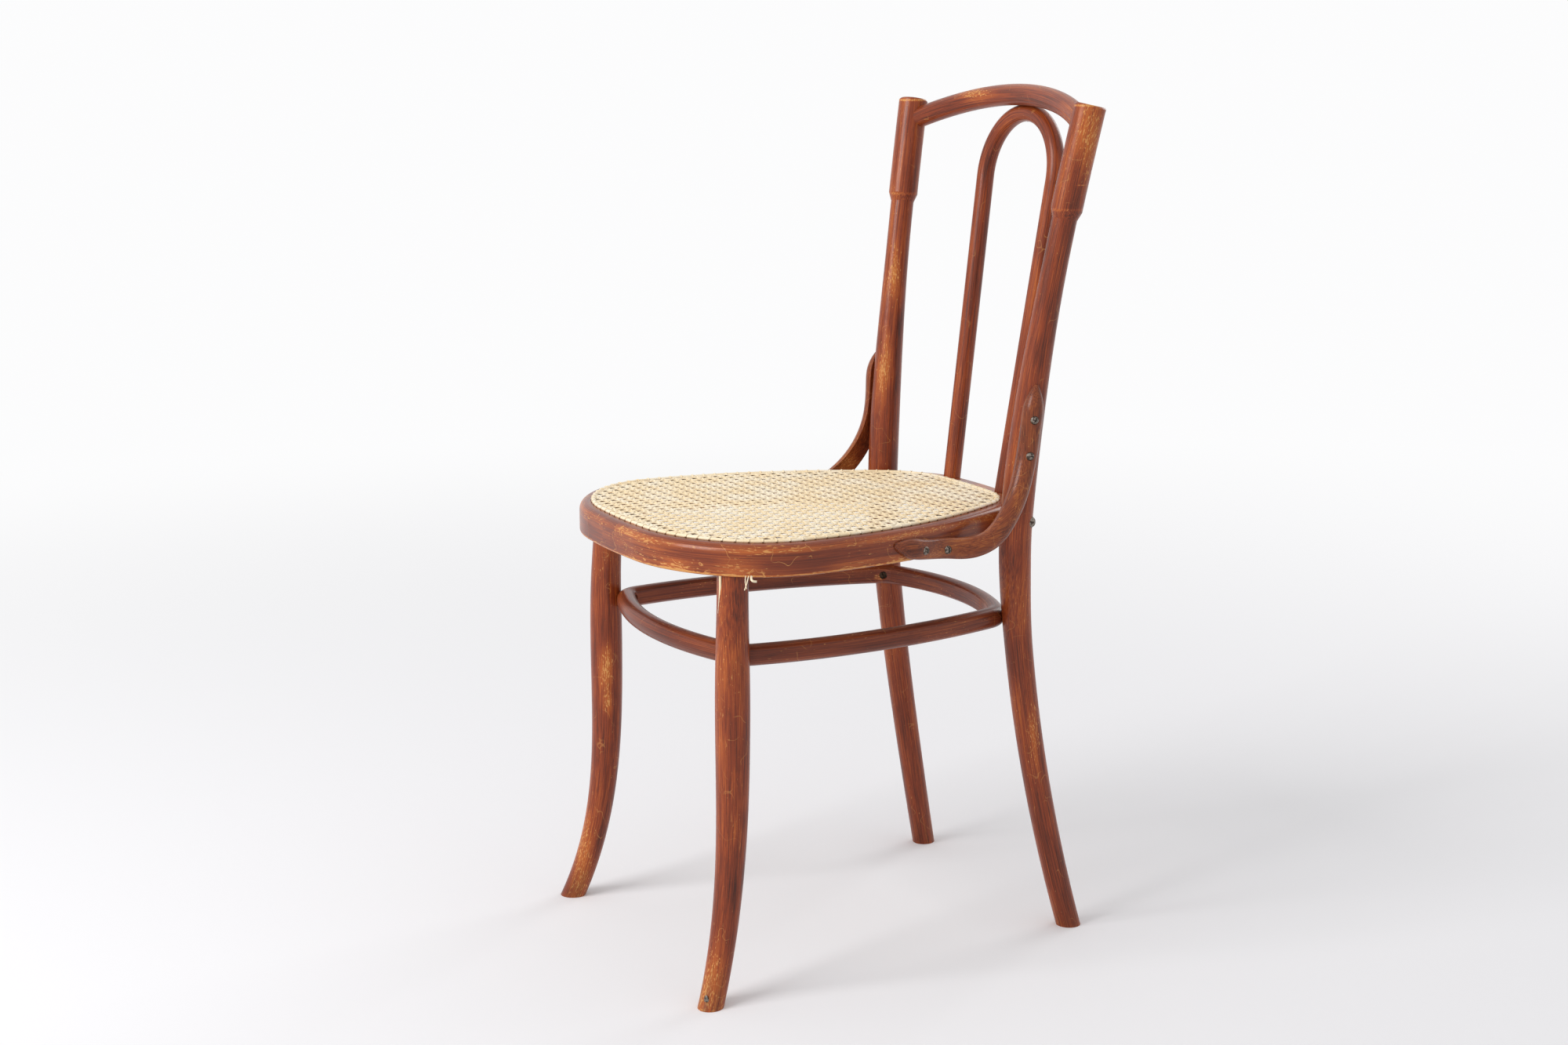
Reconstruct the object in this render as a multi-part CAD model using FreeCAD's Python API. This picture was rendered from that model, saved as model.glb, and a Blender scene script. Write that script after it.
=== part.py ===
import FreeCAD
import Part
import math
import os

# Bentwood bistro chair in millimetres.
# +Z is up, the sitter looks along -Y and the sitter's left is +X.
# Headings run round an outline from 0 at the front centre to 180 at the rear centre.

# Fits
FIT_GAP = 0.15
FIT_DEPTH = 1.0

# Seat ring
SEAT_HALF_WIDTH = 197.0
SEAT_WIDEST_TO_FRONT = 130.0
SEAT_WIDEST_TO_REAR = 325.0
SEAT_FRONT_CORNER = 165.0
SEAT_FRONT_CORNER_FROM = 4.0
SEAT_FRONT_CORNER_TO = 46.0
SEAT_REAR_CORNER = 89.0
SEAT_REAR_CORNER_FROM = 4.0
SEAT_REAR_CORNER_TO = 58.0
SEAT_TOP = 465.0
SEAT_RING_HEIGHT = 32.0
SEAT_RING_WIDTH = 38.0
SEAT_RING_TOP_ROUND = 9.0
SEAT_RING_EDGE_ROUND = 2.5

# Cane
CANE_BAND_FRONT = 12.5
CANE_BAND_REAR = 25.0
CANE_THICKNESS = 1.6
CANE_PITCH = 19.0
CANE_GAP = 12.5
CANE_GAP_CUT = 3.4
CANE_WOOD_MARGIN = 3.0
BINDER_WIDTH = 5.0
BINDER_THICKNESS = 1.2

# Stretcher ring
STRETCHER_HALF_WIDTH = 150.4
STRETCHER_WIDEST_BEHIND_SEAT_WIDEST = 51.0
STRETCHER_WIDEST_TO_FRONT = 129.0
STRETCHER_WIDEST_TO_REAR = 242.6
STRETCHER_FRONT_CORNER = 20.0
STRETCHER_FRONT_CORNER_FROM = 21.7
STRETCHER_FRONT_CORNER_TO = 80.5
STRETCHER_REAR_CORNER = 27.3
STRETCHER_REAR_CORNER_FROM = 24.8
STRETCHER_REAR_CORNER_TO = 73.4
STRETCHER_HEIGHT = 345.6
STRETCHER_RADIUS = 11.0
STRETCHER_FLAT_DEPTH = 2.6

# Front legs
FRONT_LEG_SEAT_HEADING = 46.5
FRONT_LEG_STRETCHER_HEADING = 46.0
FRONT_LEG_SPLAY_OUT = 21.3
FRONT_LEG_SPLAY_FORWARD = 35.4
FRONT_LEG_BEND_HEIGHT = 270.0
FRONT_LEG_BEND_POWER = 2.9
FRONT_LEG_LEAN_POWER = 1.5
FRONT_LEG_FOOT_DIA = 25.8
FRONT_LEG_BELLY_DIA = 35.0
FRONT_LEG_BELLY_HEIGHT = 300.0
FRONT_LEG_TOP_DIA = 31.0
FRONT_TENON_DIA = 20.0
FRONT_TENON_LENGTH = 25.0
STRETCHER_NOTCH = 1.2

# Back posts
POST_HEIGHT = 880.0
POST_SEAT_HEADING = 119.9
POST_STRETCHER_HEADING = 128.5
POST_WAIST_ACROSS_HEIGHT = 320.0
POST_WAIST_BACK_HEIGHT = 440.0
POST_SPREAD = 38.7
POST_RAKE = 55.4
POST_FOOT_OUT = 17.5
POST_FOOT_BACK = 71.2
POST_SPREAD_POWER = 1.58
POST_RAKE_POWER = 1.5
POST_FOOT_OUT_POWER = 2.3
POST_FOOT_BACK_POWER = 1.55
POST_FOOT_DIA = 25.7
POST_SHIN_DIA = 29.5
POST_SHIN_HEIGHT = 300.0
POST_SEAT_DIA = 34.0
POST_SWELL_HEIGHT = 455.0
POST_SWELL_LENGTH = 60.0
POST_NECK_DIA = 25.8
POST_NECK_HEIGHT = 740.0
POST_HEAD_DIA = 32.5
POST_HEAD_LENGTH = 105.0
POST_SHOULDER_LENGTH = 9.0
POST_CROWN_EDGE = 1.6
POST_NOTCH = 2.0

# Top rail
RAIL_DIA = 23.0
RAIL_BELOW_POST_TOP = 24.0
RAIL_RISE = 31.6
RAIL_BOW = 35.8
RAIL_TENON_DIA = 15.0
RAIL_TENON_LENGTH = 14.0

# Inner hoop of the back
HOOP_DIA = 19.0
HOOP_FOOT_HALF_SPREAD = 52.3
HOOP_FOOT_FROM_EDGE = 12.0
HOOP_TOP_RADIUS = 67.5
HOOP_TUCK_ANGLE = 25.0
HOOP_TENON_DIA = 13.0
HOOP_TENON_LENGTH = 20.0

# Hip braces
BRACE_WIDTH = 21.5
BRACE_THICKNESS = 13.0
BRACE_EDGE = 4.0
BRACE_BEDDING = 1.2
BRACE_TIP_AHEAD = 176.3
BRACE_FRONT_SCREW_AHEAD = 144.3
BRACE_REAR_SCREW_AHEAD = 112.3
BRACE_SAG_AHEAD = 75.1
BRACE_BEND_AHEAD = 50.6
BRACE_TIP_ABOVE_MIDDLE = 3.0
BRACE_SCREWS_BELOW_MIDDLE = 5.0
BRACE_SAG_BELOW_MIDDLE = 8.5
BRACE_BEND_ABOVE_MIDDLE = 9.0
BRACE_SAG_OFF_RING = 19.4
BRACE_BEND_OFF_RING = 26.0
BRACE_POST_HEADING = 69.0
BRACE_RING_HEADING = 101.0
BRACE_LOW_SCREW_ABOVE_SEAT = 60.0
BRACE_HIGH_SCREW_ABOVE_SEAT = 98.0
BRACE_TIP_ABOVE_SEAT = 133.0
BRACE_SECTIONS = 21
BRACE_TIP_LENGTH = 30.0
BRACE_TIP_SHARE = 0.2

# Fasteners
SCREW_HEAD_DIA = 8.7
SCREW_HEAD_HEIGHT = 2.8
SCREW_SHANK_DIA = 4.0
SCREW_LENGTH = 30.0
SLOT_WIDTH = 1.3
SLOT_DEPTH = 1.3
STRETCHER_SCREW_LENGTH = 36.0
HOOP_SCREW_LENGTH = 28.0
BOLT_DIA = 7.0
BOLT_HEAD_DIA = 12.0
BOLT_HEAD_HEIGHT = 4.5
BOLT_SEAT_DEPTH = 1.3
BOLT_BELOW_SEAT_TOP = 13.0
BOLT_HEADING = 133.0
WASHER_DIA = 17.0
WASHER_THICKNESS = 1.5
WASHER_SEAT_DEPTH = 2.0
NUT_ACROSS_FLATS = 12.0
NUT_HEIGHT = 5.5
BOLT_PAST_NUT = 3.0
HEAD_SINK = 0.8
SCREW_TURNS = (40.0, 15.0, 75.0, 130.0)
BOLT_TURN = 30.0

# How finely the lofts and tests are cut
RUN_OUT = 12.0
FRONT_LEG_SECTIONS = 14
POST_SECTIONS = 22
POST_HEAD_SECTIONS = 4
TANGENT_STEP = 0.5
HEADING_STEP = 3

# Worked out from the sizes above
SEAT_UNDERSIDE = SEAT_TOP - SEAT_RING_HEIGHT
POST_SEAT_CONTACT_HEIGHT = SEAT_TOP - SEAT_RING_HEIGHT / 2
BOLT_HEIGHT = SEAT_TOP - BOLT_BELOW_SEAT_TOP
SEAT_WIDEST_Y = 0.0
STRETCHER_WIDEST_Y = SEAT_WIDEST_Y + STRETCHER_WIDEST_BEHIND_SEAT_WIDEST

UP = FreeCAD.Vector(0, 0, 1)
ORIGIN = FreeCAD.Vector(0, 0, 0)
ACROSS = FreeCAD.Vector(1, 0, 0)


def vec(x, y, z):
    return FreeCAD.Vector(x, y, z)


def heading_normal(heading):
    """Unit vector out of an outline where it runs along this heading."""
    turn = math.radians(heading)
    return vec(math.sin(turn), -math.cos(turn), 0)


def mirrored(shape):
    return shape.mirror(ORIGIN, ACROSS)


def halved(low, high, is_before):
    """Where the test turns false between two values, by halving the span."""
    while high - low > 1e-7:
        middle = (low + high) / 2
        if is_before(middle):
            low = middle
        else:
            high = middle
    return low


class Outline:
    """A closed egg shape of tangent arcs, the same left and right.

    Each half is two quarters of three arcs. The corner arc's radius and its two
    headings are given, and the other two radii follow from the quarter's run and rise.
    """

    def __init__(self, half_width, widest_y, to_front, to_rear, front_corner, rear_corner):
        self.arcs = []
        radius, start, stop = front_corner
        first, last = self.end_radii(half_width, to_front, radius, start, stop)
        centre = vec(0, widest_y - to_front + first, 0)
        self.arcs.append((centre, first, 0.0, start))
        centre = centre + heading_normal(start) * (first - radius)
        self.arcs.append((centre, radius, start, stop))
        centre = centre + heading_normal(stop) * (radius - last)
        self.arcs.append((centre, last, stop, 90.0))
        radius, start, stop = rear_corner
        first, last = self.end_radii(half_width, to_rear, radius, start, stop)
        centre = vec(half_width - last, widest_y, 0)
        self.arcs.append((centre, last, 90.0, 180.0 - stop))
        centre = centre + heading_normal(180.0 - stop) * (last - radius)
        self.arcs.append((centre, radius, 180.0 - stop, 180.0 - start))
        centre = centre + heading_normal(180.0 - start) * (radius - first)
        self.arcs.append((centre, first, 180.0 - start, 180.0))

    @staticmethod
    def end_radii(run, rise, radius, start, stop):
        """Radii before and after the corner arc, from two equations in run and rise."""
        sin_a, cos_a = math.sin(math.radians(start)), math.cos(math.radians(start))
        sin_b, cos_b = math.sin(math.radians(stop)), math.cos(math.radians(stop))
        run_left = run - radius * (sin_b - sin_a)
        rise_left = rise - radius * (cos_a - cos_b)
        base = sin_a * cos_b - (1 - sin_b) * (1 - cos_a)
        first = (run_left * cos_b - (1 - sin_b) * rise_left) / base
        last = (sin_a * rise_left - (1 - cos_a) * run_left) / base
        return first, last

    def point(self, heading, outward, z):
        """Point this far outside the outline, where the outline has this heading."""
        for centre, radius, start, stop in self.arcs:
            if start <= heading <= stop:
                spot = centre + heading_normal(heading) * (radius + outward)
                return vec(spot.x, spot.y, z)
        raise ValueError("heading is outside 0 to 180")

    def heading_at_y(self, y):
        """Heading where the right half of the outline has this y."""
        return halved(0.0, 180.0, lambda heading: self.point(heading, 0, 0).y < y)

    def rear_heading_at_x(self, x):
        """Heading where the rear quarter of the outline has this x."""
        return halved(90.0, 180.0, lambda heading: self.point(heading, 0, 0).x > x)

    def holds(self, x, y, inset):
        """True if the point is at least this far inside the outline."""
        for heading in range(0, 181, HEADING_STEP):
            normal = heading_normal(heading)
            edge = self.point(heading, -inset, 0)
            if (abs(x) - edge.x) * normal.x + (y - edge.y) * normal.y > 0:
                return False
        return True

    def wire(self, outward, z):
        edges = []
        for centre, radius, start, stop in self.arcs:
            edges.append(self.arc_edge(start, stop, outward, z, 1))
            edges.append(self.arc_edge(start, stop, outward, z, -1))
        return Part.Wire(Part.__sortEdges__(edges))

    def arc_edge(self, start, stop, outward, z, side):
        ends = []
        for heading in (start, (start + stop) / 2, stop):
            spot = self.point(heading, outward, z)
            ends.append(vec(spot.x * side, spot.y, z))
        return Part.Arc(ends[0], ends[1], ends[2]).toShape()

    def ring(self, section):
        """Carry a section round the outline.

        section(radius) gives the closed wire of the section, drawn in the XZ plane, for an
        arc of that radius about the Z axis. The skins of all arcs are sewn into one shell.
        """
        pieces = []
        last = len(self.arcs) - 1
        for index, (centre, radius, start, stop) in enumerate(self.arcs):
            if index == 0:
                pieces.append(self.sector(section, centre, radius, -stop, stop))
            elif index == last:
                pieces.append(self.sector(section, centre, radius, start, 360.0 - start))
            else:
                piece = self.sector(section, centre, radius, start, stop)
                pieces.append(piece)
                pieces.append(mirrored(piece))
        faces = []
        for piece in pieces:
            faces.extend(piece.Faces)
        skin = Part.makeCompound(faces)
        skin.sewShape()
        solid = Part.Solid(skin.Shells[0])
        if solid.Volume < 0:
            solid.reverse()
        return solid

    @staticmethod
    def sector(section, centre, radius, start, stop):
        """Skin of the section carried round one arc."""
        piece = section(radius).revolve(ORIGIN, UP, stop - start)
        piece.rotate(ORIGIN, UP, start - 90.0)
        piece.translate(centre)
        return piece


SEAT = Outline(
    SEAT_HALF_WIDTH,
    SEAT_WIDEST_Y,
    SEAT_WIDEST_TO_FRONT,
    SEAT_WIDEST_TO_REAR,
    (SEAT_FRONT_CORNER, SEAT_FRONT_CORNER_FROM, SEAT_FRONT_CORNER_TO),
    (SEAT_REAR_CORNER, SEAT_REAR_CORNER_FROM, SEAT_REAR_CORNER_TO),
)
CANE = Outline(
    SEAT_HALF_WIDTH - CANE_BAND_FRONT,
    SEAT_WIDEST_Y,
    SEAT_WIDEST_TO_FRONT - CANE_BAND_FRONT,
    SEAT_WIDEST_TO_REAR - CANE_BAND_REAR,
    (SEAT_FRONT_CORNER - CANE_BAND_FRONT, SEAT_FRONT_CORNER_FROM, SEAT_FRONT_CORNER_TO),
    (SEAT_REAR_CORNER - CANE_BAND_FRONT, SEAT_REAR_CORNER_FROM, SEAT_REAR_CORNER_TO),
)
STRETCHER = Outline(
    STRETCHER_HALF_WIDTH,
    STRETCHER_WIDEST_Y,
    STRETCHER_WIDEST_TO_FRONT,
    STRETCHER_WIDEST_TO_REAR,
    (STRETCHER_FRONT_CORNER, STRETCHER_FRONT_CORNER_FROM, STRETCHER_FRONT_CORNER_TO),
    (STRETCHER_REAR_CORNER, STRETCHER_REAR_CORNER_FROM, STRETCHER_REAR_CORNER_TO),
)


def eased(value, low, high):
    """0 at low, 1 at high, level at both ends."""
    share = min(1.0, max(0.0, (value - low) / (high - low)))
    return share * share * (3 - 2 * share)


def mix(first, second, share):
    return first + (second - first) * share


def cylinder(start, axis, radius, length):
    return Part.makeCylinder(radius, length, start, axis)


def slab(low, high):
    """A wide block between two heights."""
    reach = 2 * POST_HEIGHT
    return Part.makeBox(reach, reach, high - low, vec(-reach / 2, -reach / 2, low))


def circle_wire(centre, axis, radius):
    """A circle whose start keeps the same side as the axis tilts away from Z."""
    ring = Part.Wire(Part.Circle(ORIGIN, UP, radius).toShape())
    ring.Placement = FreeCAD.Placement(centre, FreeCAD.Rotation(UP, axis))
    return ring


def tangent_at(path, z):
    run = path(z + TANGENT_STEP) - path(z - TANGENT_STEP)
    return run.normalize()


def rod(path, radius, heights, ruled=False):
    """Loft through circles square to a path that climbs with z.

    The first and last circles stand a run-out beyond a sawn end, which is cut level later.
    """
    wires = [circle_wire(path(z), tangent_at(path, z), radius(z)) for z in heights]
    return Part.makeLoft(wires, True, ruled)


def spaced(low, high, count):
    return [low + (high - low) * step / (count - 1) for step in range(count)]


# Front legs


def front_leg_radius(z):
    if z > FRONT_LEG_BELLY_HEIGHT:
        share = eased(z, FRONT_LEG_BELLY_HEIGHT, SEAT_UNDERSIDE)
        return mix(FRONT_LEG_BELLY_DIA, FRONT_LEG_TOP_DIA, share) / 2
    share = eased(z, 0.0, FRONT_LEG_BELLY_HEIGHT)
    return mix(FRONT_LEG_FOOT_DIA, FRONT_LEG_BELLY_DIA, share) / 2


def front_leg_at_stretcher():
    out = STRETCHER_RADIUS + front_leg_radius(STRETCHER_HEIGHT) - STRETCHER_NOTCH
    return STRETCHER.point(FRONT_LEG_STRETCHER_HEADING, out, STRETCHER_HEIGHT)


def front_leg_path(z):
    """Leans in from the stretcher to the seat ring, and flares out to the foot."""
    low = front_leg_at_stretcher()
    top = SEAT.point(FRONT_LEG_SEAT_HEADING, -SEAT_RING_WIDTH / 2, SEAT_UNDERSIDE)
    lean = max(0.0, (z - low.z) / (top.z - low.z)) ** FRONT_LEG_LEAN_POWER
    flare = max(0.0, 1 - z / FRONT_LEG_BEND_HEIGHT) ** FRONT_LEG_BEND_POWER
    x = mix(low.x, top.x, lean) + FRONT_LEG_SPLAY_OUT * flare
    y = mix(low.y, top.y, lean) - FRONT_LEG_SPLAY_FORWARD * flare
    return vec(x, y, z)


def front_tenon(grow):
    foot = front_leg_path(SEAT_UNDERSIDE)
    start = vec(foot.x, foot.y, SEAT_UNDERSIDE - FRONT_TENON_LENGTH)
    length = 2 * FRONT_TENON_LENGTH + (FIT_DEPTH if grow else 0.0)
    return cylinder(start, UP, FRONT_TENON_DIA / 2 + grow, length)


def front_leg_blank():
    heights = [-RUN_OUT] + spaced(0.0, SEAT_UNDERSIDE, FRONT_LEG_SECTIONS)
    heights.append(SEAT_UNDERSIDE + RUN_OUT)
    return rod(front_leg_path, front_leg_radius, heights).common(slab(0.0, SEAT_UNDERSIDE))


# Back posts


def post_radius(z):
    if z >= POST_HEIGHT - POST_HEAD_LENGTH:
        return POST_HEAD_DIA / 2
    swell_low = POST_SWELL_HEIGHT - POST_SWELL_LENGTH / 2
    swell_high = POST_SWELL_HEIGHT + POST_SWELL_LENGTH / 2
    if z < POST_SHIN_HEIGHT:
        return mix(POST_FOOT_DIA, POST_SHIN_DIA, max(0.0, z / POST_SHIN_HEIGHT)) / 2
    if z < swell_high:
        return mix(POST_SHIN_DIA, POST_SEAT_DIA, eased(z, POST_SHIN_HEIGHT, swell_low)) / 2
    return mix(POST_SEAT_DIA, POST_NECK_DIA, eased(z, swell_high, POST_NECK_HEIGHT)) / 2


def post_shape(z):
    """Bends of the post about its two waists, before it is set against the rings."""
    across = POST_WAIST_ACROSS_HEIGHT
    back = POST_WAIST_BACK_HEIGHT
    if z > across:
        x = POST_SPREAD * ((z - across) / (POST_HEIGHT - across)) ** POST_SPREAD_POWER
    else:
        x = POST_FOOT_OUT * ((across - z) / across) ** POST_FOOT_OUT_POWER
    if z > back:
        y = POST_RAKE * ((z - back) / (POST_HEIGHT - back)) ** POST_RAKE_POWER
    else:
        y = POST_FOOT_BACK * ((back - z) / back) ** POST_FOOT_BACK_POWER
    return vec(x, y, z)


def post_at_seat():
    out = POST_SEAT_DIA / 2 - POST_NOTCH
    return SEAT.point(POST_SEAT_HEADING, out, POST_SEAT_CONTACT_HEIGHT)


def post_at_stretcher():
    out = STRETCHER_RADIUS + post_radius(STRETCHER_HEIGHT) - STRETCHER_NOTCH
    return STRETCHER.point(POST_STRETCHER_HEADING, out, STRETCHER_HEIGHT)


def post_path(z):
    """The bent shape, shifted and tilted to pass its two seats on the rings."""
    high, low = post_at_seat(), post_at_stretcher()
    high_off = high - post_shape(high.z)
    low_off = low - post_shape(low.z)
    share = (z - low.z) / (high.z - low.z)
    share = min(1.0, max(0.0, share))
    shape = post_shape(z)
    x = shape.x + mix(low_off.x, high_off.x, share)
    y = shape.y + mix(low_off.y, high_off.y, share)
    return vec(x, y, z)


def post_blank(grow):
    """Leg, shoulder, head and crown of one post, all radii larger by grow."""
    def radius(z):
        return post_radius(z) + grow

    shoulder_top = POST_HEIGHT - POST_HEAD_LENGTH
    shoulder_low = shoulder_top - POST_SHOULDER_LENGTH
    crown_low = POST_HEIGHT - POST_CROWN_EDGE

    def crown_radius(z):
        return POST_HEAD_DIA / 2 + grow - (POST_CROWN_EDGE if z > crown_low else 0.0)

    leg = rod(post_path, radius, [-RUN_OUT] + spaced(0.0, shoulder_low, POST_SECTIONS))
    shoulder = rod(post_path, radius, [shoulder_low, shoulder_top], True)
    head = rod(post_path, radius, spaced(shoulder_top, crown_low, POST_HEAD_SECTIONS))
    crown = rod(post_path, crown_radius, [crown_low, POST_HEIGHT], True)
    whole = leg.multiFuse([shoulder, head, crown])
    return whole.common(slab(0.0, POST_HEIGHT + RUN_OUT)).Solids[0]


# Rings


def seat_section(grow):
    def section(radius):
        outer = radius + grow
        inner = radius - SEAT_RING_WIDTH - grow
        low = SEAT_UNDERSIDE - grow
        top = SEAT_TOP + grow
        return rounded_outline(outer, inner, low, top, SEAT_RING_TOP_ROUND, SEAT_RING_EDGE_ROUND)
    return section


def rounded_outline(outer, inner, low, top, big, small):
    """Block section in the XZ plane, with a large round at its top outer edge."""
    corners = [
        (outer, top, big),
        (inner, top, small),
        (inner, low, small),
        (outer, low, small),
    ]
    mid_x, mid_z = (outer + inner) / 2, (low + top) / 2
    edges = []
    previous = None
    first = None
    for x, z, round_size in corners:
        side_x = 1 if x > mid_x else -1
        side_z = 1 if z > mid_z else -1
        centre = vec(x - side_x * round_size, 0, z - side_z * round_size)
        on_side = centre + vec(side_x * round_size, 0, 0)
        on_level = centre + vec(0, 0, side_z * round_size)
        bulge = centre + vec(side_x, 0, side_z) * (round_size / math.sqrt(2))
        enter, leave = (on_side, on_level) if side_x * side_z > 0 else (on_level, on_side)
        if previous is not None:
            edges.append(Part.LineSegment(previous, enter).toShape())
        else:
            first = enter
        edges.append(Part.Arc(enter, bulge, leave).toShape())
        previous = leave
    edges.append(Part.LineSegment(previous, first).toShape())
    return Part.Wire(edges)


def stretcher_section(grow):
    """Round bar with its inner side planed flat."""
    def section(radius):
        bar = STRETCHER_RADIUS + grow
        flat = STRETCHER_RADIUS - STRETCHER_FLAT_DEPTH + grow
        half = math.sqrt(bar * bar - flat * flat)
        high = vec(radius - flat, 0, STRETCHER_HEIGHT + half)
        low = vec(radius - flat, 0, STRETCHER_HEIGHT - half)
        outer = vec(radius + bar, 0, STRETCHER_HEIGHT)
        round_side = Part.Arc(low, outer, high).toShape()
        planed = Part.LineSegment(high, low).toShape()
        return Part.Wire([round_side, planed])
    return section


def seat_ring_blank(grow):
    return SEAT.ring(seat_section(grow))


def stretcher_ring_blank(grow):
    return STRETCHER.ring(stretcher_section(grow))


# Back


def rail_ends():
    end = post_path(POST_HEIGHT - RAIL_BELOW_POST_TOP)
    middle = vec(0, end.y + RAIL_BOW, end.z + RAIL_RISE)
    return end, middle


def rail_end_direction():
    """Direction in which the rail's arc runs into the right post."""
    end, middle = rail_ends()
    drop = vec(0, end.y - middle.y, end.z - middle.z)
    sag = drop.Length
    half_turn = 2 * math.atan2(sag, end.x)
    return (ACROSS * math.cos(half_turn) + drop.normalize() * math.sin(half_turn)).normalize()


def top_rail_blank():
    end, middle = rail_ends()
    start = vec(-end.x, end.y, end.z)
    path = Part.Wire(Part.Arc(start, middle, end).toShape())
    direction = rail_end_direction()
    inward = vec(direction.x, -direction.y, -direction.z)
    profile = circle_wire_across(start, inward, RAIL_DIA / 2)
    return path.makePipeShell([profile], True, False)


def circle_wire_across(centre, axis, radius):
    return Part.Wire(Part.Circle(centre, axis, radius).toShape())


def rail_tenon(grow):
    end = rail_ends()[0]
    direction = rail_end_direction()
    start = end - direction * (POST_HEAD_DIA / 2 + RAIL_TENON_LENGTH)
    length = 2 * RAIL_TENON_LENGTH + (FIT_DEPTH if grow else 0.0)
    return cylinder(start, direction, RAIL_TENON_DIA / 2 + grow, length)


def hoop_frame():
    """Foot and apex of the hoop, and the direction up its tilted plane."""
    foot_y = SEAT.point(SEAT.rear_heading_at_x(HOOP_FOOT_HALF_SPREAD), -HOOP_FOOT_FROM_EDGE, 0).y
    foot = vec(0, foot_y, SEAT_TOP - SEAT_RING_TOP_ROUND)
    end, middle = rail_ends()
    tuck = math.radians(HOOP_TUCK_ANGLE)
    apart = RAIL_DIA / 2 + HOOP_DIA / 2 + FIT_GAP
    apex = middle + vec(0, math.sin(tuck), -math.cos(tuck)) * apart
    rise = apex - foot
    return foot, apex, rise.Length, rise.normalize()


def hoop_tangent():
    """Where the right leg of the hoop meets its top arc, in the hoop's plane."""
    foot, apex, rise, up = hoop_frame()
    centre_rise = rise - HOOP_TOP_RADIUS
    distance = math.hypot(HOOP_FOOT_HALF_SPREAD, centre_rise)
    to_foot = math.atan2(-centre_rise, HOOP_FOOT_HALF_SPREAD)
    angle = to_foot + math.acos(HOOP_TOP_RADIUS / distance)
    x = HOOP_TOP_RADIUS * math.cos(angle)
    return x, centre_rise + HOOP_TOP_RADIUS * math.sin(angle)


def hoop_leg_direction():
    foot, apex, rise, up = hoop_frame()
    x, v = hoop_tangent()
    return (ACROSS * (x - HOOP_FOOT_HALF_SPREAD) + up * v).normalize()


def hoop_foot():
    foot, apex, rise, up = hoop_frame()
    return foot + ACROSS * HOOP_FOOT_HALF_SPREAD


def back_hoop_blank():
    foot, apex, rise, up = hoop_frame()
    x, v = hoop_tangent()
    right_foot = hoop_foot()
    left_foot = vec(-right_foot.x, right_foot.y, right_foot.z)
    right_bend = foot + up * v + ACROSS * x
    left_bend = foot + up * v - ACROSS * x
    path = Part.Wire([
        Part.LineSegment(right_foot, right_bend).toShape(),
        Part.Arc(right_bend, apex, left_bend).toShape(),
        Part.LineSegment(left_bend, left_foot).toShape(),
    ])
    profile = circle_wire_across(right_foot, hoop_leg_direction(), HOOP_DIA / 2)
    return path.makePipeShell([profile], True, False)


def hoop_tenon(grow):
    direction = hoop_leg_direction()
    start = hoop_foot() + direction * (HOOP_TENON_LENGTH / 2)
    length = 1.5 * HOOP_TENON_LENGTH + (FIT_DEPTH if grow else 0.0)
    return cylinder(start, direction * -1, HOOP_TENON_DIA / 2 + grow, length)


def hoop_screw_seat():
    """Centre of the screw's head under the hoop, and its direction into the rail."""
    foot, apex, rise, up = hoop_frame()
    end, middle = rail_ends()
    direction = (middle - apex).normalize()
    return apex - direction * (HOOP_DIA / 2 - HEAD_SINK), direction


# Hip braces


def brace_line():
    """Centre line of the right brace, through points on the ring and on the post."""
    post = post_at_seat()
    clear = BRACE_THICKNESS / 2 - BRACE_BEDDING
    middle = POST_SEAT_CONTACT_HEIGHT

    def beside_ring(ahead, above, off_ring=0.0):
        heading = SEAT.heading_at_y(post.y - ahead)
        return SEAT.point(heading, clear + off_ring, middle + above)

    def beside_post(above_seat):
        spot = post_path(SEAT_TOP + above_seat)
        out = post_radius(SEAT_TOP + above_seat) + clear
        return spot + heading_normal(BRACE_POST_HEADING) * out

    tip = beside_ring(BRACE_TIP_AHEAD, BRACE_TIP_ABOVE_MIDDLE)
    front_screw = beside_ring(BRACE_FRONT_SCREW_AHEAD, -BRACE_SCREWS_BELOW_MIDDLE)
    rear_screw = beside_ring(BRACE_REAR_SCREW_AHEAD, -BRACE_SCREWS_BELOW_MIDDLE - BRACE_EDGE)
    sag = beside_ring(BRACE_SAG_AHEAD, -BRACE_SAG_BELOW_MIDDLE, BRACE_SAG_OFF_RING)
    bend = beside_ring(BRACE_BEND_AHEAD, BRACE_BEND_ABOVE_MIDDLE, BRACE_BEND_OFF_RING)
    low_screw = beside_post(BRACE_LOW_SCREW_ABOVE_SEAT)
    high_screw = beside_post(BRACE_HIGH_SCREW_ABOVE_SEAT)
    upper_tip = beside_post(BRACE_TIP_ABOVE_SEAT)
    line = Part.BSplineCurve()
    line.interpolate([tip, front_screw, rear_screw, sag, bend, low_screw, high_screw, upper_tip])
    return line, front_screw, rear_screw, low_screw, high_screw


def brace_frame(line, parameter):
    """Place on the line with its run, its outward side and its width side."""
    spot = line.value(parameter)
    run = line.tangent(parameter)[0].normalize()
    share = (parameter - line.FirstParameter) / (line.LastParameter - line.FirstParameter)
    facing = heading_normal(mix(BRACE_RING_HEADING, BRACE_POST_HEADING, share))
    outward = (facing - run * facing.dot(run)).normalize()
    return spot, run, outward, run.cross(outward).normalize()


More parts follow.
